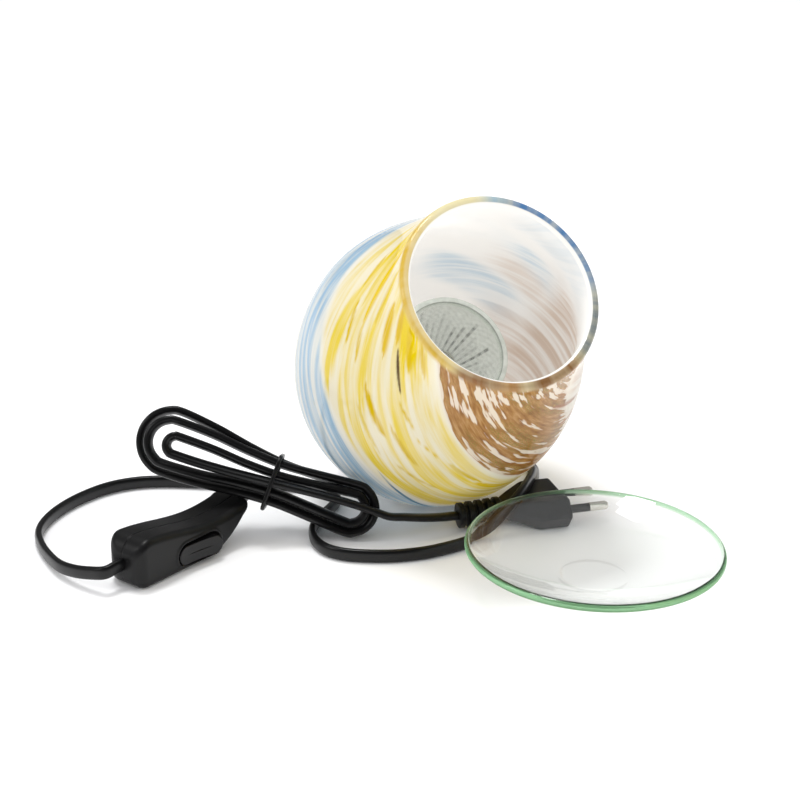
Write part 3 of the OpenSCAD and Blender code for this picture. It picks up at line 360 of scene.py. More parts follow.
# From the base round behind the plug, over it, under the hank and round to the switch
SWITCH_DIR, PLUG_DIR = SWITCH_TURN[:, 0], PLUG_TURN[:, 0]
outlet = outlet_world([44, 0, 5])
outlet_dir, outlet_up = OUTLET_TURN[:, 0], OUTLET_TURN[:, 1]
blunt_hole = switch_world([0.5, 10, 9.888])
lamp_route = [
    outlet, outlet + CORD_W * outlet_dir,
    [9.5, 72.5, 4.4], [15.5, 67.5, 3], [18.5, 60, 2.9], [18.3, 51, 4.6], [17.3, 41, 8.4],
    [16.2, 31.5, 14.2], [15.3, 27, 16.6], [14.3, 21, 17], [12.3, 13.5, 17.2], [9.5, 5, 17.2],
    [5, -2.5, 14.6], [-1, -7.5, 9.6],
    [-7, -11, 5], [-14, -15.5, 3], [-22, -21, 2.9], [-32, -26, 2.9], [-44, -29, 2.9], [-55.5, -29.2, 2.9],
    [-65.5, -27.5, 2.9], [-73, -23, 2.9], [-78, -14.5, 2.9], [-79.5, -4, 2.9], [-77.5, 7, 2.9],
    [-73, 17.5, 2.9], [-70, 27.5, 2.9], [-73, 36.5, 2.9], [-81, 42, 2.9], [-92, 44, 2.9], [-105, 45, 2.9],
    [-119, 46.2, 2.9], [-133, 47.3, 2.9], [-147, 48.2, 2.9], [-160, 46.8, 2.9], [-172, 41, 2.9],
    [-182, 30.5, 2.9], [-189.5, 18, 2.9], [-194, 4.5, 2.9], [-194.8, -8, 2.9], [-191.5, -20, 2.9],
    [-186.5, -31, 3.2], [-180.5, -41.5, 4.2], [-173.5, -49, 5.6], [-166, -54.5, 7.4], [-159.8, -57.5, 9],
    blunt_hole - CORD_T * SWITCH_DIR, blunt_hole,
]
turn_up = np.minimum(np.arange(len(lamp_route)) / 5, 1)[:, None]
lamp_surface, lamp_line = flat_cord(lamp_route, outlet_up + (UPRIGHT - outlet_up) * turn_up)

# The hank: three loops in the plane of its own x and y, z towards the viewer, then the run to the plug.
# RUN is half a run, SHORT what the last loop lacks at its end, STEP the pitch of the bends' radii, and PINCH
# how far the tie at TIE_AT draws the runs in.
RUN, SHORT, LAYER, STEP, PINCH, TIE_AT = 40.3, 3.0, 6.2, 3.9, 2.7, 5.7
LOW_R, HIGH_R, LAST_R = 10.3, 13.4, 3.9
LOW_BENDS = LOW_R - STEP * np.array([0.6, 0, 1])
HIGH_BENDS = np.array([HIGH_R, HIGH_R - STEP, LAST_R])
RUN_RINGS, BEND_RINGS = 5, 7
HALF_RINGS = RUN_RINGS + BEND_RINGS
HANK_TILT = 20.0


def hank_local(i):
    """Ring i of the loops: a run drawn in at the tie, then half a turn, the lower run first."""
    half = np.floor(i / HALF_RINGS).astype(int)
    k = i - HALF_RINGS * half
    loop, top = half // 2, half % 2 == 1
    last = np.where(top, loop, np.maximum(loop - 1, 0))
    u = k / RUN_RINGS
    low = LOW_BENDS[loop]
    high = np.where(half == 0, HIGH_R + STEP, HIGH_BENDS[last])
    left = RUN - np.array([0, 0, SHORT])[last]
    z = np.where(half < 2, -LAYER, np.where(half == 2, -LAYER * fade(0, 1, 1.8 * u), 0))
    z = np.where(half == 5, LAYER * smooth(0, 1, u), z)
    run_x = np.where(top, RUN - (RUN + left) * u, (RUN + left) * u - left)
    pinch = PINCH * (1 + np.cos(np.radians(np.minimum(180, 180 * np.abs(run_x - TIE_AT) / RUN)))) / 2
    run_y = np.where(top, low + (high - low) * u - pinch, pinch - high - (low - high) * u)
    r = np.where(top, high, low)
    a = np.radians(180 * (k - RUN_RINGS) / BEND_RINGS - np.where(top, -90, 90))
    bend_x = np.where(top, -left, RUN) + r * np.cos(a)
    run = k < RUN_RINGS
    return np.stack([np.where(run, run_x, bend_x), np.where(run, run_y, r * np.sin(a)), z], -1)


rings = hank_local(np.concatenate([[2.7], np.arange(3, 6 * HALF_RINGS)]))
start_x, end_x = SHORT - RUN, RUN + 2 * CORD_W
u = np.linspace(0, 1, 10)
leave_y = -LAST_R + (2.5 + LAST_R) * smooth(0, 1, u)
leave = np.stack([start_x + (end_x - start_x) * u, leave_y, np.full(10, LAYER)], -1)
hank_points = hank_world(np.vstack([rings, leave]))
hank_up = HANK_TURN[:, 2]
# In the loops the flat sides lean, so that the front edge lies further out, and the ends come back square
along_hank = unit(np.gradient(hank_points, axis=0))
from_end = np.minimum(np.arange(len(hank_points)), np.arange(len(hank_points))[::-1])
lean = np.radians(HANK_TILT) * np.minimum(1, from_end / 6)[:, None]
hank_ups = np.cos(lean) * hank_up + np.sin(lean) * np.cross(along_hank, hank_up)
# Between the switch's tip and the hank, and between the hank and the plug's relief
CASE_LEN, CASE_DEEP, CASE_HIGH, CASE_CORNER = 66.0, 20.0, 20.6, 2.8
PLUG_MID, PIN_SIDE, RELIEF_X = 6.85, 9.3, -26
tip_hole = switch_world([CASE_LEN - 0.8 * CORD_W, 10, 12.566])
first_dir = unit(hank_points[1] - hank_points[0])
last_dir = unit(hank_points[-1] - hank_points[-2])
plug_hole = plug_world([RELIEF_X - 10.5, 0, PLUG_MID])
switch_part = [
    tip_hole, tip_hole + CORD_W * SWITCH_DIR, [-109.8, 4, 13.8], hank_points[0] - CORD_W * first_dir,
]
plug_part = [
    hank_points[-1] + CORD_W * last_dir,
    [-40.8, -9.4, 11.4], [-33.3, -5.6, 9.4], [-26, -1.2, 7.6],
    plug_hole - 2 * CORD_W * PLUG_DIR, plug_hole,
]
first_share = (np.arange(4) / 4)[:, None]
last_share = (np.arange(1, 7) / 6)[:, None]
flat_up = np.cross(PLUG_DIR, UPRIGHT)
plug_ups = np.vstack(
    [UPRIGHT + (hank_up - UPRIGHT) * first_share, hank_ups, hank_up + (flat_up - hank_up) * last_share]
)
plug_surface, plug_line = flat_cord(np.vstack([switch_part, hank_points, plug_part]), plug_ups)

cord_from_lamp = piece("cord_from_lamp", lamp_surface, pvc_cord, ["cord_lamp_lead"])
cord_to_plug = piece(
    "cord_to_plug", plug_surface, pvc_cord, ["cord_switch_lead", "cord_hank", "cord_plug_lead"],
)

# Switch
ROCKER_X, ROCKER_Z, ROCKER_HALF, ROCKER_R = 34.5, 6.867, 7.2, 4.3


def end_drop(x, r):
    """How far a round corner of radius r falls short at a distance x from the end."""
    return np.where(x >= r, 0, r - np.sqrt(np.maximum(r * r - (r - np.minimum(x, r)) ** 2, 0)))


def stadium_distance(x, z):
    """Distance outside the rocker's outline, negative inside it."""
    return np.hypot(np.maximum(np.abs(x - ROCKER_X) - ROCKER_HALF, 0), z - ROCKER_Z) - ROCKER_R


def case_surface():
    """The switch's case: a round-cornered box section whose top, floor, front and back follow their curves
    along x. The rocker's well, the screw wells and the parting line are pressed in."""
    # sections lie closer together over the last stretch of each end
    ends = 0.6
    near = ends * np.linspace(0, 1, 8) ** 2
    between = ends + (CASE_LEN - 2 * ends) * np.linspace(0, 1, 190)
    x = np.unique(np.concatenate([near, between, CASE_LEN - near]).round(6))
    v = x / CASE_LEN
    # the ends' corner radii, then how high and from where the floor sweeps up
    top_r, low_r, front_r, back_r, tip_r, rise, flat = 8.24, 5.2, 5, 7, 3, 15.66, 0.6
    top = CASE_HIGH - CASE_HIGH / 8 * (1 - np.cos(TAU * (v - 0.05) / 1.35)) - end_drop(x, top_r)
    sweep = rise * ((np.maximum(v, flat) - flat) / (1 - flat)) ** 2
    low = np.maximum(sweep, end_drop(x, low_r))
    tip = end_drop(CASE_LEN - x, tip_r)
    front = np.maximum(end_drop(x, front_r), tip)
    back = CASE_DEEP - np.maximum(end_drop(x, back_r), tip)
    r = np.minimum(CASE_CORNER, 0.49 * (top - low))[:, None]
    # a section's points: two shares of the half sizes, then two offsets in corner radii
    corner = arc(0, 90, 9)
    flat_y, flat_z = np.linspace(-1, 1, 92)[1:-1], np.linspace(-1, 1, 62)[1:-1]
    parts = []
    for a, b, turn in ((1, 1, 0), (-1, 1, 90), (-1, -1, 180), (1, -1, 270)):
        angle = corner + math.radians(turn)
        parts.append(np.stack([np.full(9, a), np.full(9, b), np.cos(angle), np.sin(angle)], -1))
        level, s = turn in (0, 180), 1 if turn < 180 else -1
        n = flat_y if level else flat_z
        one, none = np.full(len(n), s), np.zeros(len(n))
        parts.append(np.stack([-s * n, one, none, one] if level else [-one, -s * n, -one, none], -1))
    section = np.vstack(parts)
    half_y, half_z = (back - front)[:, None] / 2, (top - low)[:, None] / 2
    mid_y, mid_z = (back + front)[:, None] / 2, (top + low)[:, None] / 2
    y = mid_y + section[None, :, 0] * (half_y - r) + section[None, :, 2] * r
    z = mid_z + section[None, :, 1] * (half_z - r) + section[None, :, 3] * r
    xx = np.broadcast_to(x[:, None], y.shape)
    on_front, on_back, on_top, on_low = (
        ((section[:, 2] == c) & (section[:, 3] == d))[None, :] for c, d in ((-1, 0), (1, 0), (0, 1), (0, -1))
    )
    well = stadium_distance(xx, z)
    frame_line = 0.35 * smooth(0.5, 1.0, well) * fade(1.6, 2.3, well)
    y = y + on_front * (2.6 * fade(0.35, 0.95, well) - frame_line)
    for screw_x in (13.2, 52.8):
        y = y - on_back * 1.9 * (1 - smooth(2.5, 2.9, np.hypot(xx - screw_x, z - 10.3)))
    seam = 0.28 * (1 - smooth(0.12, 0.42, np.abs(y - CASE_DEEP / 2)))
    z = z - on_top * seam + on_low * seam
    return grid(np.stack([xx, y, z], -1), caps=True)


switch_case = piece(
    "switch_case", laid(case_surface(), switch_world), abs_case,
    ["switch_front_shell", "switch_back_shell"], 60,
)


def rocker_surface():
    """The rocker: nested stadium outlines climb its side, round its edge and close over a dished face."""
    edge, face_y, hollow, hollow_half = 0.55, -5.76, 0.95, 11.5
    # (inset, y, whether y counts from the face)
    rows = [(0.0, 1.0, False), (0.0, -5.2, False)]
    for a in arc(0, 90, 6):
        rows.append((edge * (1 - math.cos(a)), edge * (1 - math.sin(a)), True))
    rows += [(inset, 0.0, True) for inset in (0.8, 1.2, 1.8, 2.5, 3.2, 3.9, 4.28)]
    a = circle(120)
    out = []
    for inset, y, on_face in rows:
        r = ROCKER_R - inset
        x = r * np.cos(a) + ROCKER_HALF * smooth(-0.12, 0.12, np.cos(a)) * 2 - ROCKER_HALF
        face = face_y + hollow * (1 - (x / hollow_half) ** 2)
        out.append(np.stack([x, face * on_face + y, r * np.sin(a)], -1))
    return grid(np.array(out), caps=True)


rocker_world = place(SWITCH_TURN @ turned(-7, "z"), switch_world([ROCKER_X, 3.6, ROCKER_Z]))
rocker_cap = piece(
    "rocker_cap", laid(rocker_surface(), rocker_world), abs_rocker, ["switch_rocker"], 50,
    "rocker",
)


# Plug
def plug_shell():
    """The plug's body: a round-cornered hexagon carried from the round-edged face back to the relief."""
    # (x, half width in the middle, half width of the flats, half height, corner radius)
    w, f, h, corner, edge = 17.65, 13.0, PLUG_MID, 1.6, 1.3
    neck = (6.8, 6.7, 4.35)
    rows = []
    for a in arc(0, 90, 7):
        inset = edge * (1 - math.sin(a))
        rows.append((-edge * (1 - math.cos(a)), w - inset, f - inset, h - inset, corner))
    rows += [(x, w, f, h, corner) for x in (-4, -8, -12, -13.2)]
    for t in np.linspace(0.1, 1, 10):
        sizes = [a + (b - a) * t for a, b in zip((w, f, h), neck)]
        rows.append((-13.65 - 12.3 * t, *sizes, corner * (1 + t)))
    out = []
    for x, a, b, c, r in rows:
        outline = rounded([[a, 0], [b, c], [-b, c], [-a, 0], [-b, -c], [b, -c]], r, 7)
        out.append(np.column_stack([np.full(len(outline), x), outline[:, 0], outline[:, 1] + PLUG_MID]))
    return grid(np.array(out), caps=True)


plug_shell_piece = piece(
    "plug_shell", laid(plug_shell(), plug_world), pvc_plug, ["plug_body"], 35
)


def along_plug(surface, side=0.0):
    """Lays a surface turned about z along the plug's pins, at a sideways distance."""
    return laid(surface, lambda p: plug_world(np.column_stack([p[:, 2], p[:, 0] + side, p[:, 1] + PLUG_MID])))


def relief_profile():
    """Ribs that get smaller towards the cord: a round-shouldered wave on a core."""
    core, first, pitch = 4.1, 6.2, 4
    x = np.linspace(0, 20, 200)
    rib = np.floor(x / pitch)
    place_in_rib = x / pitch - rib
    bump = smooth(0.30, 0.44, place_in_rib) * fade(0.94, 1.0, place_in_rib)
    return np.column_stack([core + (first * (1 - 0.03 * rib) - core) * bump, RELIEF_X - x])


relief = piece(
    "plug_ribs", along_plug(closed_lathe(relief_profile(), 64)), pvc_plug, ["plug_relief"],
    45,
)


def pin_profile():
    """A core of 1.45 mm radius inside the body and sleeve, then the bare tip with its round end."""
    end = arc(0, 88, 8)
    shank = [[1.45, -3], [1.45, 9.95], [1.97, 10.05], [2, 10.2], [2, 17]]
    return np.vstack([shank, np.column_stack([2 * np.cos(end), 17 + 2 * np.sin(end)])])


def pin_pair(surface):
    return join(*[along_plug(surface, side) for side in (-PIN_SIDE, PIN_SIDE)])


sleeve = np.array([[1.52, 0.0], [1.85, 0.0], [1.9, 0.15], [1.9, 9.85], [1.83, 10], [1.52, 10]])
plug_pins = piece(
    "turned_pins", pin_pair(closed_lathe(pin_profile(), 48)), nickel, ["plug_pins"], 35
)
sleeves = piece(
    "pin_collars", pin_pair(grid(lathe(sleeve, 48), close_rows=True)), sleeve_black, ["pin_sleeves"],
    35,
)


def tie_surface():
    """The hank's tie: a thin round-edged band carried round a rectangle with round corners."""
    # half the bundle's depth, then its height up and down from the hank's middle, each with the band's room
    side, top, low = np.array([9.25, 9.81, 11.56]) + 0.85
    path = rounded([[side, top], [-side, top], [-side, -low], [side, -low]], 4.0, 12)
    normal = unit(np.roll(path, -1, 0) - np.roll(path, 1, 0))
    normal = np.column_stack([normal[:, 1], -normal[:, 0]])
    a = circle(16)
    out, wide = squarish(np.cos(a), 0.8) * 0.8, squarish(np.sin(a), 0.8) * 0.9
    ring = path[:, None, :] + normal[:, None, :] * out[None, :, None]
    x = np.broadcast_to(wide[None, :], ring.shape[:2]) + TIE_AT
    # the path's first number is the layer direction, its second the hank's height
    return grid(hank_world(np.stack([x, ring[..., 1], ring[..., 0]], -1)), close_rows=True)


tie = piece("hank_band", tie_surface(), pvc_cord, ["hank_tie"], 60)

# Vase
WALL, LIP, BELLY_R, MOUTH_R, FOOT_Z, TOP_Z = 4.2, 2.1, 61, 42.5, 9, 138


def vase_radius(z):
    """Outer radius: a flattened oval below the widest ring and a soft S above it."""
    low = BELLY_R * (1 - np.clip((BELLY_Z - z) / 63.2, 0, 1) ** 2.5) ** 0.4
    return np.where(z < BELLY_Z, low, BELLY_R - (BELLY_R - MOUTH_R) * smooth(BELLY_Z, TOP_Z, z))


def swirl_turn(z):
    """Degrees that the colours turn from the lip down to a height. The glass was twisted most low down."""
    heights = np.linspace(0, 140, 281)
    rate = np.interp(heights, [9, 45, 62, 76, 100, 138], [1.5, 1.9, 1.9, 1.25, 1.15, 0.72])
    turn = np.cumsum(rate[::-1])[::-1] * 0.5
    return np.interp(z, heights, turn) - np.interp(TOP_Z, heights, turn)


def vase_profile():
    """One closed loop of (radius, height, share of the lip, 1 inside): out over the foot, up, over the lip,
    down inside, and in over the floor with its hole."""
    lip_z, deck_z = TOP_Z - LIP, 19.2
    z = np.concatenate([np.linspace(FOOT_Z, 20, 10), np.linspace(22, lip_z, 68)])
    outer = np.column_stack([vase_radius(z), z, 0 * z, 0 * z])
    a, share = arc(10, 170, 19), np.linspace(0, 1, 19)
    lip = np.column_stack([MOUTH_R - LIP + LIP * np.cos(a), lip_z + LIP * np.sin(a), share, share])
    z = np.linspace(lip_z, deck_z, 48)
    inner = np.column_stack([vase_radius(z) - WALL, z, 0 * z, 0 * z + 1])
    deck_r = float(vase_radius(deck_z)) - 2 * WALL
    deck = [(deck_r, 15), (36, 15), (32, 15), (28.4, 15), (28.05, 14.85), (28, 14.6)]
    hole = [(28, 9.4), (28.05, 9.15), (28.5, 9), (31, 9), (34, 9)]
    floor_ring = [(*point, 0, 1) for point in deck] + [(*point, 0, 0) for point in hole]
    return np.vstack([outer, lip, inner, floor_ring])


# Each column of the mesh follows one line of colour, so the streaks run along its edges
profile = vase_profile()
r, z = profile[:, 0, None], profile[:, 1, None]
around = np.linspace(0, 360, 600, endpoint=False)[None, :]
tone, zz, lip_share, inside = np.broadcast_arrays(around, z, profile[:, 2, None], profile[:, 3, None])
theta = tone + swirl_turn(z)
wave = 0.12 * np.sin(np.radians(3 * theta + 40)) + 0.08 * np.sin(np.radians(5 * theta + 200))
wave = wave * smooth(20, 60, z) * fade(120, 134, z)
ca, sa = np.cos(np.radians(theta)), np.sin(np.radians(theta))
local = np.stack([(r - 0.2 + wave) * ca, (r - 0.2 + wave) * sa, zz], -1)
# a place on the untwisted wall, for the grain of the streaks
swirl = np.stack([BELLY_R * np.cos(np.radians(tone)), BELLY_R * np.sin(np.radians(tone)), zz], -1) * MM
# tone counts round with the colours, tt round the glass itself
tt = theta % 360


def band(x, low, high, soft_low, soft_high):
    """1 between two angles, fading over soft widths on each side. Works round the circle."""
    mid, half = (low + high) / 2, (high - low) / 2
    d = (x - mid + 180) % 360 - 180
    return smooth(-half - soft_low, -half + soft_low, d) * fade(half - soft_high, half + soft_high, d)


def sheet(code):
    """One colour for every point of the vase."""
    return np.broadcast_to(linear(code)[:3], tone.shape + (3,))


def blend_in(base, code, mask):
    return base + (sheet(code) - base) * mask[..., None]


# Outside zones by colour angle, with edges that drift down the wall: sky, yellow, tan chips, blush and slate
yellow_low = np.interp(zz, [40, 54, 69, 80, 90, 105, 138], [140, 138, 132, 115, 101, 92, 88])
brown_high = np.interp(zz, [40, 69, 87, 110, 130, 138], [226, 236, 260, 282, 304, 312])
yellow = smooth(-7, 7, tone - yellow_low) * fade(208, 216, tone)
brown = smooth(211, 216, tone) * fade(-9, 9, tone - brown_high)
blush = smooth(-9, 9, tone - brown_high) * fade(310, 335, tone)
sky = smooth(-122, -76, tone - yellow_low) * fade(-9, 3, tone - yellow_low)
sky = sky * (1 - 0.6 * smooth(104, 122, zz))
sky = np.maximum(sky, band(tone, 345, 400, 10, 14) * 0.8)
slate = band(tone, 322, 348, 8, 8)
tint, cover = sheet("#efe8c6"), 0.10
for code, zone, share in (
    ("#ecd002", yellow, 0.72 + 0.22 * smooth(112, 134, zz)), ("#a8743f", brown, 0.9),
    ("#cdaa92", blush, 0.55), ("#a3c4de", sky, 0.85), ("#7d8a90", slate, 0.5),
):
    tint = blend_in(tint, code, np.clip(zone, 0, 1))
    cover = np.maximum(cover, share * zone)
# seen from inside, the far wall shows a tan haze low on the right and cool washes above it
haze = band(tt, 300, 382, 22, 14) * fade(96, 124, zz)
haze = np.maximum(haze, 0.8 * band(tt, 14, 50, 12, 12) * smooth(50, 64, zz) * fade(78, 88, zz))
haze = np.maximum(haze, 0.8 * band(tt, 0, 40, 12, 12) * fade(40, 54, zz))
cool = band(tt, 16, 48, 8, 12) * smooth(70, 80, zz) * fade(98, 110, zz)
cool = np.maximum(cool, band(tt, 26, 76, 8, 12) * smooth(30, 38, zz) * fade(52, 62, zz))
cool = np.maximum(cool, 0.6 * band(tt, 350, 420, 10, 16) * smooth(112, 122, zz))
inner_tint = blend_in(sheet("#fbfbfa"), "#c9ae98", haze)
inner_tint = blend_in(inner_tint, "#bcd3e4", cool * (1 - 0.7 * haze))
tint = tint + (inner_tint - tint) * inside[..., None]
cover = cover + (np.maximum(haze, cool) - cover) * inside

# Streaks, listed one by one: (angle of colour at the lip, its drift in degrees, top height, bottom height,
# half width in mm, colour, strength)
STREAKS = (
    (144, 3, 135, 106, 3.4, "#eac800", 1.0), (147, 2, 108, 98, 2.6, "#dfbe12", 0.8),
    (155, 2, 134, 114, 2.4, "#e2c440", 0.7), (134, 4, 130, 108, 2.4, "#e8d062", 0.7),
    (124, 3, 119, 108, 2.8, "#e3c64a", 0.8), (132, 5, 106, 96, 2.8, "#e0bf1c", 0.8),
    (168, 3, 130, 112, 4.0, "#dfba08", 0.9), (179, 1, 137, 122, 3.2, "#dfba10", 0.9),
    (190, 2, 136, 118, 3.0, "#e2c11c", 0.8), (201, 2, 137, 122, 2.6, "#e2c352", 0.7),
    (182, 3.5, 122, 107, 1.5, "#54380e", 1.0), (184, 5, 104, 98, 2.4, "#e0c124", 0.8),
    (159, 8, 97, 85, 5.0, "#dcba0e", 0.9), (152, 6, 88, 76, 3.0, "#e2c850", 0.7),
    (174, 5, 92, 80, 3.4, "#dcbc34", 0.7), (188, 8, 94, 89, 1.6, "#e6c41a", 0.9),
    (199, 3, 88, 76, 3.0, "#dfc120", 0.8), (165, 12, 76, 68, 3.6, "#dcc048", 0.7),
    (200, 0, 76, 61, 4.6, "#e6c60c", 0.95), (190, 2, 70, 56, 3.4, "#d8bc44", 0.7),
    (178, 4, 66, 50, 3.0, "#ddc868", 0.6), (72, 6, 102, 84, 5.0, "#9abfe0", 0.8),
    (80, 20, 88, 60, 4.6, "#a3c5e2", 0.75), (58, 12, 96, 60, 5.4, "#a9c7de", 0.7),
    (46, 20, 104, 54, 6.0, "#b4cde0", 0.7), (143, -20, 63, 34, 2.0, "#4f7f9f", 1.0),
    (352, 5, 134, 80, 4.0, "#6a94bf", 0.8), (8, 4, 130, 70, 4.4, "#86acd0", 0.7),
    (30, 4, 128, 90, 3.8, "#749fc8", 0.7), (46, 4, 120, 60, 4.0, "#96b7d6", 0.7),
    (330, 4, 120, 66, 4.0, "#a58c78", 0.6), (306, 3, 132, 96, 3.0, "#a87a58", 0.7),
    (272, 6, 112, 92, 3.4, "#a06a42", 0.8), (258, 8, 92, 78, 3.0, "#a9744e", 0.7),
)
mark, nearest = np.zeros(tone.shape + (4,)), np.zeros(tone.shape)
mark[..., :3] = sheet("#dfc63c")
for angle, drift, high, low, half, code, strength in STREAKS:
    down = (high - zz) / (high - low)
    from_line = np.abs((tone - angle - drift * down + 180) % 360 - 180)
    away = np.radians(from_line) * np.maximum(vase_radius(zz), 20)
    taper = np.clip(1 - (2 * down - 1) ** 2, 0, 1) ** 0.6
    share = away / (half * np.maximum(taper, 0.05))
    here = strength * fade(0.25, 1.0, share) * (taper > 0) * (1 - inside)
    # the colour reaches past the streak's edge, so that the edge fades in colour
    reach = strength * fade(0.25, 3.5, share) * (1 - inside) * (np.abs(2 * down - 1) < 1.15)
    take = reach > nearest
    nearest[take] = reach[take]
    mark[take, :3] = linear(code)[:3]
    mark[..., 3] = np.maximum(mark[..., 3], here)

# The lip: clear coloured casing outside, a bright opal line at its inner edge
up_wall = smooth(134.5, 137, zz) * fade(0.001, 0.01, lip_share) * (1 - inside)
casing = np.clip(smooth(0.0, 0.06, lip_share) * fade(0.66, 0.74, lip_share) + up_wall, 0, 1)
opal_line = smooth(0.66, 0.76, lip_share)
lip_tint = sheet("#e6dcae")
for code, low, high, soft in (
    ("#d6b02c", 124, 224, 12), ("#8a5a28", 226, 266, 6), ("#a8783e", 252, 266, 5), ("#83592a", 268, 308, 8),
    ("#68767e", 310, 350, 8), ("#3f76ad", 352, 432, 12), ("#8fb2c8", 432, 444, 8),
):
    lip_tint = blend_in(lip_tint, code, band(tt, low, high, soft, soft))
# a painted highlight: the lip's upper side is paler over its yellow part
lip_tint = blend_in(lip_tint, "#f4eccc", 0.35 * band(tt, 110, 236, 10, 10) * smooth(0.26, 0.42, lip_share))


def cased_glass():
    """Blown glass: opal white gathered with coloured powders and chips, swirled, cased in clear and
    fire-polished. It gives soft drawn-out streaks, tan chips with a gold-green glitter, a wall that lets
    light through and a hard wet gloss."""
    material, tree, shader = finish("cased_blown_glass", IOR=1.52, Roughness=0.03)

    def times(a, *others):
        for b in others:
            a = maths(tree, "MULTIPLY", a, b)
        return a

    def spread(value, low, high, to_low, to_high, kind="LINEAR"):
        settings = {"interpolation_type": kind}
        return add(tree, "MapRange", settings, Value=value, _1=low, _2=high, _3=to_low, _4=to_high)

    def drawn(size_mm, detail, share):
        """Grain on the untwisted wall, drawn out along the swirl: share is its width over its length."""
        return grain(tree, size_mm, detail, swirl, (1, 1, share))

    swirl = stored(tree, "swirl", "Vector")
    cover, flake, inside = (stored(tree, name) for name in ("cover", "flake", "inside"))
    tint = stored(tree, "tint", "Color")
    streak, hair, wash = drawn(7.0, 3.0, 0.20), drawn(1.8, 2.0, 0.12), drawn(20.0, 2.0, 0.30)
    body = spread(streak, 0.36, 0.62, 0.0, 1.0, "SMOOTHSTEP")
    density = times(body, spread(hair, 0.30, 0.70, 0.70, 1.12), spread(wash, 0.34, 0.60, 0.45, 1.25), cover)
    density = maths(tree, "ADD", density, times(cover, 0.26))
    # tan chips drawn out and run together, parted by pale dashes 4 mm across and about three times as long
    bend = add(tree, "TexNoise", out=1, Vector=swirl, Scale=110.0, Detail=2.0)
    bent = add(tree, "VectorMath", {"operation": "MULTIPLY_ADD"}, _0=bend, _1=(0.001, 0.001, 0.004), _2=swirl)
    dashes = grain(tree, 3.8, 2.0, bent, (1, 1, 0.30))
    wide_gaps = spread(drawn(16.0, 1.0, 0.40), 0.35, 0.65, 0.31, 0.44)
    limit = maths(tree, "ADD", wide_gaps, spread(flake, 0.45, 1.0, 0.12, 0.0))
    chip = spread(maths(tree, "SUBTRACT", dashes, limit), -0.02, 0.07, 0.0, 1.0, "SMOOTHSTEP")
    rim = maths(tree, "SUBTRACT", flake, times(drawn(4.0, 3.0, 0.35), 0.8))
    chip = times(chip, spread(rim, 0.02, 0.16, 0.0, 1.0, "SMOOTHSTEP"))
    tan = ramp(tree, drawn(2.2, 4.0, 0.35), (0.25, "#82562f"), (0.5, "#ab7c46"), (0.75, "#c9a26c"))
    glitter, patches = grain(tree, 0.6, 1.0), drawn(12.0, 1.0, 0.5)
    gold = times(spread(glitter, 0.50, 0.64, 0.0, 0.85), spread(patches, 0.44, 0.60, 0.0, 1.0))
    tan = mix(tree, gold, tan, linear("#86803c"))
    milk = mix(tree, wash, linear("#f3efdf"), linear("#f7f5ef"))
    outside = mix(tree, times(density, maths(tree, "SUBTRACT", 1.0, flake)), milk, tint)
    outside = mix(tree, times(flake, 0.30), outside, linear("#e0bd9c"))
    outside = mix(tree, chip, outside, tan)
    fine = spread(hair, 0.30, 0.62, 0.70, 1.2)
    line_cover = times(stored(tree, "mark_cover"), fine, spread(streak, 0.30, 0.50, 0.60, 1.25))
    outside = mix(tree, line_cover, outside, stored(tree, "mark", "Color"))
    # from inside, the opal layer veils the colours
    thin = times(spread(streak, 0.34, 0.66, 0.25, 0.8, "SMOOTHSTEP"), cover)
    colour = mix(tree, inside, outside, mix(tree, thin, linear("#fbfbfa"), tint))
    pale = spread(streak, 0.35, 0.70, 0.0, 0.36)
    lip = mix(tree, pale, stored(tree, "lip_tint", "Color"), linear("#f0e6c0"))
    colour = mix(tree, times(stored(tree, "casing"), 0.96), colour, lip)
    colour = mix(tree, stored(tree, "opal_line"), colour, linear("#fdfcf8"))
    # hand-blown wall: a slow, shallow ripple
    ripple = add(tree, "Bump", Strength=0.4, Distance=0.0005, Height=grain(tree, 24.0, 1.0))
    wire(shader, Base_Color=colour, Normal=ripple)
    # a share of the light goes through the opal wall
    through_wall = add(tree, "BsdfTranslucent", Color=colour)
    both = add(tree, "MixShader", _0=0.42, _1=shader.outputs[0], _2=through_wall)
    # light already inside the wall leaves it at its other face
    leaving = add(tree, "BsdfTransparent", Color=linear("#f3f0ec"))
    wall = add(tree, "MixShader", _0=add(tree, "NewGeometry", out="Backfacing"), _1=both, _2=leaving)
    wire(tree.nodes["Material Output"], Surface=wall)
    return material


vase_surface = laid(grid(local, close_rows=True), lamp_world)
vase = piece("cased_vase", vase_surface, cased_glass(), ["glass_body"], 180)
attribute(vase, "swirl", "FLOAT_VECTOR", swirl)
for name, colour in (("tint", tint), ("mark", mark[..., :3]), ("lip_tint", lip_tint)):
    attribute(vase, name, "FLOAT_COLOR", np.insert(colour, 3, 1.0, axis=-1))
for name, values in (
    ("cover", cover), ("flake", brown * (1 - inside)), ("mark_cover", mark[..., 3]), ("inside", inside),
    ("casing", casing), ("opal_line", opal_line),
):
    attribute(vase, name, "FLOAT", values)


# Dish
DISH_EDGE_R, DISH_T = 50.9, 3.2


def dish_height(r):
    """Flat to the ground foot, then a parabola out to the edge."""
    foot = DISH_FOOT_R**2
    return np.where(r < DISH_FOOT_R, 0, 13.8 * (r * r - foot) / (52.5**2 - foot))


def dish_profile():
    """Out along the underside, round the edge and back over the top."""
    r = np.concatenate([[0.05, 4, 9, 12.6, 13.6, 14, 14.5, 15.5], np.linspace(17.5, DISH_EDGE_R, 42)])
    a, half = arc(-62, 84, 14), DISH_T / 2
    edge_z = dish_height(DISH_EDGE_R) + half
    edge = np.column_stack([DISH_EDGE_R + half * np.cos(a), edge_z + half * np.sin(a)])
    under = np.column_stack([r, dish_height(r)])
    return np.vstack([under, edge, under[::-1] + [0, DISH_T]])


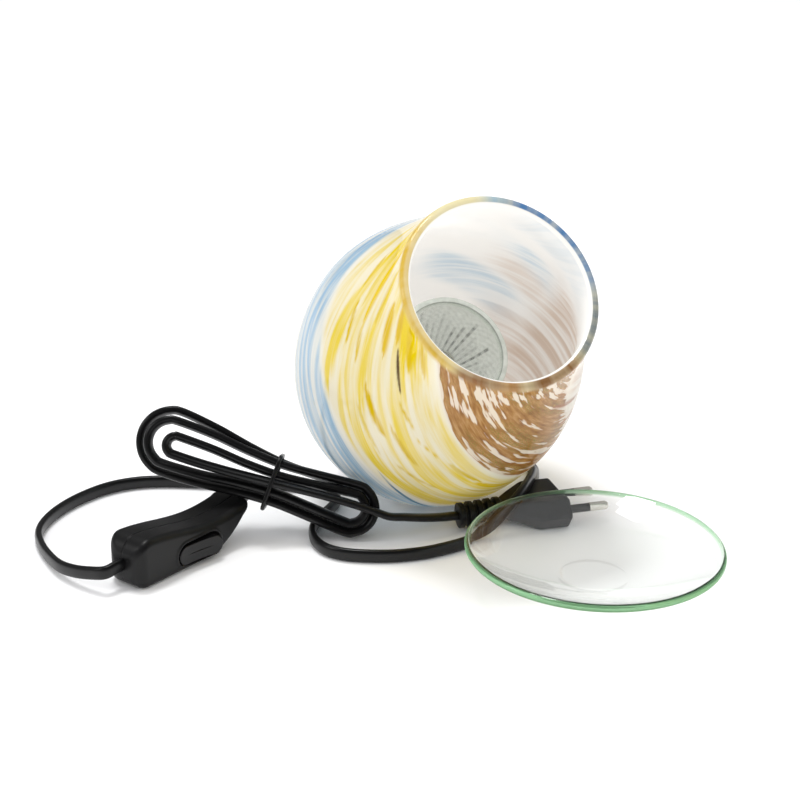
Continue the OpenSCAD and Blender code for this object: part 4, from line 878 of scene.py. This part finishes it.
def pressed_glass():
    """Soda-lime glass, slumped and fire-polished: clear through its face, sea green where light runs along it
    to the edge."""
    material, tree, shader = finish("slumped_soda_glass", IOR=1.52, Roughness=0.0, Transmission_Weight=1.0)
    green = stored(tree, "edge")
    wire(shader, Base_Color=ramp(tree, green, (0.0, "#feffff"), (0.55, "#def2e0"), (1.0, "#b4e0bb")))
    # the edge glows green with light that has run along the sheet
    glow = add(tree, "BsdfTranslucent", Color=linear("#a8dcac"))
    both = add(tree, "MixShader", _0=maths(tree, "MULTIPLY", green, 0.5), _1=shader.outputs[0], _2=glow)
    # lamps and room light the floor under it through the glass, in a pale tint
    way = add(tree, "LightPath").node.outputs
    light = maths(tree, "MAXIMUM", way["Is Shadow Ray"], way["Is Diffuse Ray"])
    clear = add(tree, "BsdfTransparent", Color=ramp(tree, green, (0.0, "#fbfcfb"), (1.0, "#b4d8b8")))
    wire(tree.nodes["Material Output"], Surface=add(tree, "MixShader", _0=light, _1=both, _2=clear))
    return material


dish_flat, dish_faces = closed_lathe(dish_profile(), 256)
dish_surface = laid((dish_flat, dish_faces), dish_world)
dish = piece("slumped_dish", dish_surface, pressed_glass(), ["glass_dish"], 70, "dish")
attribute(dish, "edge", "FLOAT", smooth(50.8, 52.3, np.hypot(dish_flat[:, 0], dish_flat[:, 1])))

# Bulb, from its face downwards
# the last constant is the angle round the bowl where the painted reflection strokes sit
FLUTES, BOWL_COLUMNS, PAINTED_LINES_AT = 36, 288, 100
BOWL_Z, BOWL_RISE, BOWL_T = -26, 22.8, 1.4


def bowl(h):
    """The reflector's outer radius at a share of its height."""
    return 7.0 + 18.0 * np.sqrt(h)


def bulb_bowl():
    """The pressed reflector: a parabola outside, and inside it the same curve with radial flutes. Painted
    reflections
    darken the mirror: dark strokes in the flutes and rows of dark spots. Returns the surface, its mirrored
    part and its painted darkening."""
    h = np.linspace(0.0, 1, 60)
    outer = np.column_stack([bowl(h), BOWL_Z + BOWL_RISE * h])
    lip = [[25, -1.0], [24.8, -0.3], [24.4, 0], [22.75, 0], [22.62, -0.1], [22.6, -1.6], [21.9, -3.0]]
    inner = outer[::-1] - [BOWL_T, 0]
    line = np.vstack([outer, lip, inner])
    points = lathe(line, BOWL_COLUMNS)
    a = circle(BOWL_COLUMNS)[None, :]
    row, radius = np.arange(len(line))[:, None], line[:, 0, None]
    start = len(outer) + len(lip)
    depth = np.clip((row - start) / (len(inner) - 1), 0, 1)
    flute = np.cos(FLUTES * a) * (0.16 + 0.22 * np.cos(60 * depth))
    flute = flute * smooth(0.02, 0.12, depth) * fade(0.9, 1.0, depth)
    points[..., :2] *= (1 + flute / radius)[..., None]
    mirror = np.broadcast_to(row >= start - 1, points.shape[:2])
    # painted reflections: dark strokes in the flutes on one side, rows of dark spots on the other, and dark
    # rings round the lamp's neck
    side = smooth(-0.2, 0.5, np.cos(a - math.radians(PAINTED_LINES_AT)))
    of_flute = (np.round(a[0] / TAU * FLUTES) % FLUTES).astype(int)
    begin, weight, phase = np.random.default_rng(5).random((FLUTES, 3))[of_flute].T
    painted_flute_lines = smooth(0.1, 0.8, np.cos(FLUTES * a)) * smooth(0.0, 0.12, depth - 0.5 * begin) * side
    painted_flute_lines = painted_flute_lines * (0.3 + 0.7 * weight**2) * (0.7 + 0.3 * np.cos(40 * depth + 6 * phase))
    painted_dot_reflections = smooth(0.2, 0.9, np.cos(24 * a) * np.cos(48 * depth)) * (1 - side) * smooth(0.3, 0.5, depth) * 0.5
    neck = np.exp(-(((radius - 10.8) / 0.45) ** 2)) + 0.8 * np.exp(-(((radius - 8.2) / 0.5) ** 2))
    painted_reflection_shade = np.clip(np.maximum(np.maximum(painted_flute_lines * 0.85, painted_dot_reflections), neck * 0.8), 0, 1) * mirror
    # a painted shadow line where the cover glass sits in its seat
    painted_reflection_shade[len(outer) + 4] = 0.6
    return grid(points, close_rows=True), mirror, painted_reflection_shade


def coated_glass():
    """Pressed bulb glass, aluminised inside the bowl and bare at the rim: a bright fluted mirror in a
    grey-green glass ring, with painted reflections and a painted shadow line in dark grey. The thin aluminium
    film scatters most of the light."""
    material, tree, shader = finish("aluminised_bulb_glass", IOR=1.5)
    mirror, dark = (stored(tree, name) for name in ("mirror", "painted_reflection_shade"))
    cloud = grain(tree, 3.0)
    silver = ramp(tree, cloud, (0.3, "#f2f2ef"), (0.7, "#fbfbf8"))
    glass = ramp(tree, cloud, (0.3, "#ccd2ca"), (0.7, "#e0e5de"))
    # the dark grey laid over mirror and glass is painted reflection and painted shadow
    colour = mix(tree, dark, mix(tree, mirror, glass, silver), linear("#444642"))
    rough = add(tree, "MapRange", Value=cloud, _3=0.10, _4=0.22)
    wire(shader, Base_Color=colour, Metallic=maths(tree, "MULTIPLY", mirror, 0.12), Roughness=rough)
    return material


def bulb_piece(name, surface, material, stands_for, sharp=50):
    return piece(name, laid(surface, bulb_world), material, [stands_for], sharp, "bulb")


bowl_surface, mirror, painted_reflection_shade = bulb_bowl()
reflector = bulb_piece("aluminised_bowl", bowl_surface, coated_glass(), "bulb_reflector", 60)
attribute(reflector, "mirror", "FLOAT", mirror)
attribute(reflector, "painted_reflection_shade", "FLOAT", painted_reflection_shade)


def flat_lens():
    """The bulb's cover glass, pressed flat: it lets light straight through, with a weak clear gloss."""
    faint = linear("#eef1ec")
    material, tree, shader = finish("clear_lens_glass", IOR=1.47, Roughness=0.02, Base_Color=faint)
    clear = add(tree, "BsdfTransparent", Color=linear("#fdfefd"))
    both = add(tree, "MixShader", _0=0.06, _1=clear, _2=shader.outputs[0])
    wire(tree.nodes["Material Output"], Surface=both)
    return material


lens = [
    [0.05, -1.6], [15, -1.6], [21.9, -1.6], [22.3, -1.5], [22.45, -1.25], [22.45, -0.35], [22.3, -0.08],
    [21.9, -0.02], [15, -0.02], [0.05, -0.02],
]
bulb_piece("cover_lens", closed_lathe(np.array(lens), 128), flat_lens(), "bulb_cover_glass")

# Fused quartz, drawn to a tube and closed with a dome: colourless and clear
quartz = finish(
    "fused_quartz", IOR=1.46, Roughness=0.02, Transmission_Weight=1.0, Base_Color=linear("#f4f6f4")
)[0]
dome, tube_r, dome_z = arc(0, 89, 14), 4.9, -12.4
tube = [[0.05, -27.9], [3.9, -27.9], [4.6, -27.6], [tube_r, -27], [tube_r, dome_z]]
capsule = np.vstack([tube, np.column_stack([tube_r * np.cos(dome), dome_z + tube_r * np.sin(dome)])])
bulb_piece("quartz_capsule", closed_lathe(capsule, 64), quartz, "bulb_capsule")


def filament_surface():
    """A fine wire wound in a short upright coil."""
    turns, coil_r, wire_r, low, tall = 14, 0.8, 0.13, -21.6, 5.4
    t = np.linspace(0, 1, 420)
    a = TAU * turns * t
    line = np.column_stack([coil_r * np.cos(a), coil_r * np.sin(a), low + tall * t])
    step = unit(np.gradient(line, axis=0))
    side = unit(np.cross(step, UPRIGHT))
    other = np.cross(step, side)
    a = circle(8)[None, :, None]
    return grid(line[:, None] + wire_r * (side[:, None] * np.cos(a) + other[:, None] * np.sin(a)), caps=True)


bulb_piece("tungsten_coil", filament_surface(), tungsten, "bulb_filament", 60)

# Foot pads with a rounded edge
PAD_RING_R = 25
pad = np.array([[0.05, 2], [4.6, 2], [4.95, 1.9], [5, 1.6], [4.9, 0.5], [4.7, 0.12], [4.3, 0], [0.05, 0]])
pad_flat, pad_faces = closed_lathe(pad, 48)
pads = [
    laid((pad_flat + [PAD_RING_R * math.cos(a), PAD_RING_R * math.sin(a), 0], pad_faces), outlet_world)
    for a in (math.radians(60 + 120 * k) for k in range(3))
]
piece("round_pads", join(*pads), pad_rubber, ["foot_pads"], 45)

for material, names in (
    (zinc, "glass_clips clip_screws socket_bracket bracket_screws socket_screws"),
    (zinc, "terminal_screws switch_screws"), (powder_coat, "base_plate"), (epdm, "base_gasket cord_bushing"),
    (steatite, "socket_body socket_cap bulb_base"), (brass, "socket_contacts switch_contacts switch_bridge"),
    (polyamide, "terminal_block"), (brown_core, "mains_cores"), (lead_sleeve, "socket_leads"),
    (pvc_cord, "cord_tail"), (nickel, "bulb_pins"), (abs_case, "switch_cord_grip"),
):
    for name in names.split():
        mesh = nodes[name].data
        mesh.materials.clear()
        mesh.materials.append(material)

# Floor: a plain pale sheet that keeps the shadows
FLOOR_HALF, FLOOR_Z = 30, -0.0002
corners = [(x * FLOOR_HALF, y * FLOOR_HALF, FLOOR_Z) for x, y in ((-1, -1), (1, -1), (1, 1), (-1, 1))]
floor_mesh = bpy.data.meshes.new("floor")
floor_mesh.from_pydata(corners, [], [(0, 1, 2, 3)])
floor = bpy.data.objects.new("floor", floor_mesh)
bpy.context.collection.objects.link(floor)
# Matt white paper, rolled: it shows only the shadows
paper = finish("white_paper", Base_Color=linear("#f6f6f7"), Roughness=0.9, Specular_IOR_Level=0.2)[0]
floor_mesh.materials.append(paper)

# Light: an even white room, one large soft lamp above and behind, one weaker at the left
world = bpy.data.worlds.new("room")
world.use_nodes = True
bpy.context.scene.world = world
tree = world.node_tree
path = add(tree, "LightPath").node.outputs
seen = maths(tree, "MAXIMUM", path["Is Camera Ray"], path["Is Transmission Ray"])
# reflections find a pale backdrop behind the lamp and a dim studio in front of it
way = add(tree, "SeparateXYZ", out="Y", Vector=add(tree, "TexCoord", out="Generated"))
soft = {"interpolation_type": "SMOOTHSTEP"}
studio = add(tree, "MapRange", soft, Value=way, _1=-0.3, _2=0.6, _3=0.09, _4=0.20)
room = add(tree, "Mix", {"data_type": "FLOAT"}, _0=path["Is Glossy Ray"], _2=0.98, _3=studio)
strength = add(tree, "Mix", {"data_type": "FLOAT"}, _0=seen, _2=room, _3=1.0)
wire(tree.nodes["Background"], Color=(1, 1, 1, 1), Strength=strength)


def lamp(name, spot, aim, size, watts):
    """A soft rectangular lamp that points at a spot, in metres."""
    data = bpy.data.lights.new(name, "AREA")
    data.shape = "RECTANGLE"
    data.size, data.size_y = size
    data.energy = watts
    thing = bpy.data.objects.new(name, data)
    thing.location = spot
    back = np.array(spot) - np.array(aim)
    tip, turn = math.atan2(math.hypot(back[0], back[1]), back[2]), math.atan2(back[0], -back[1])
    thing.rotation_euler = (tip, 0, turn)
    bpy.context.collection.objects.link(thing)


lamp("soft_above", (-0.25, 0.25, 1.3), (-0.04, 0.0, 0.03), (0.4, 0.25), 8.0)
lamp("soft_left", (-1.2, -0.35, 0.8), (-0.04, 0.0, 0.05), (0.4, 0.4), 3.5)
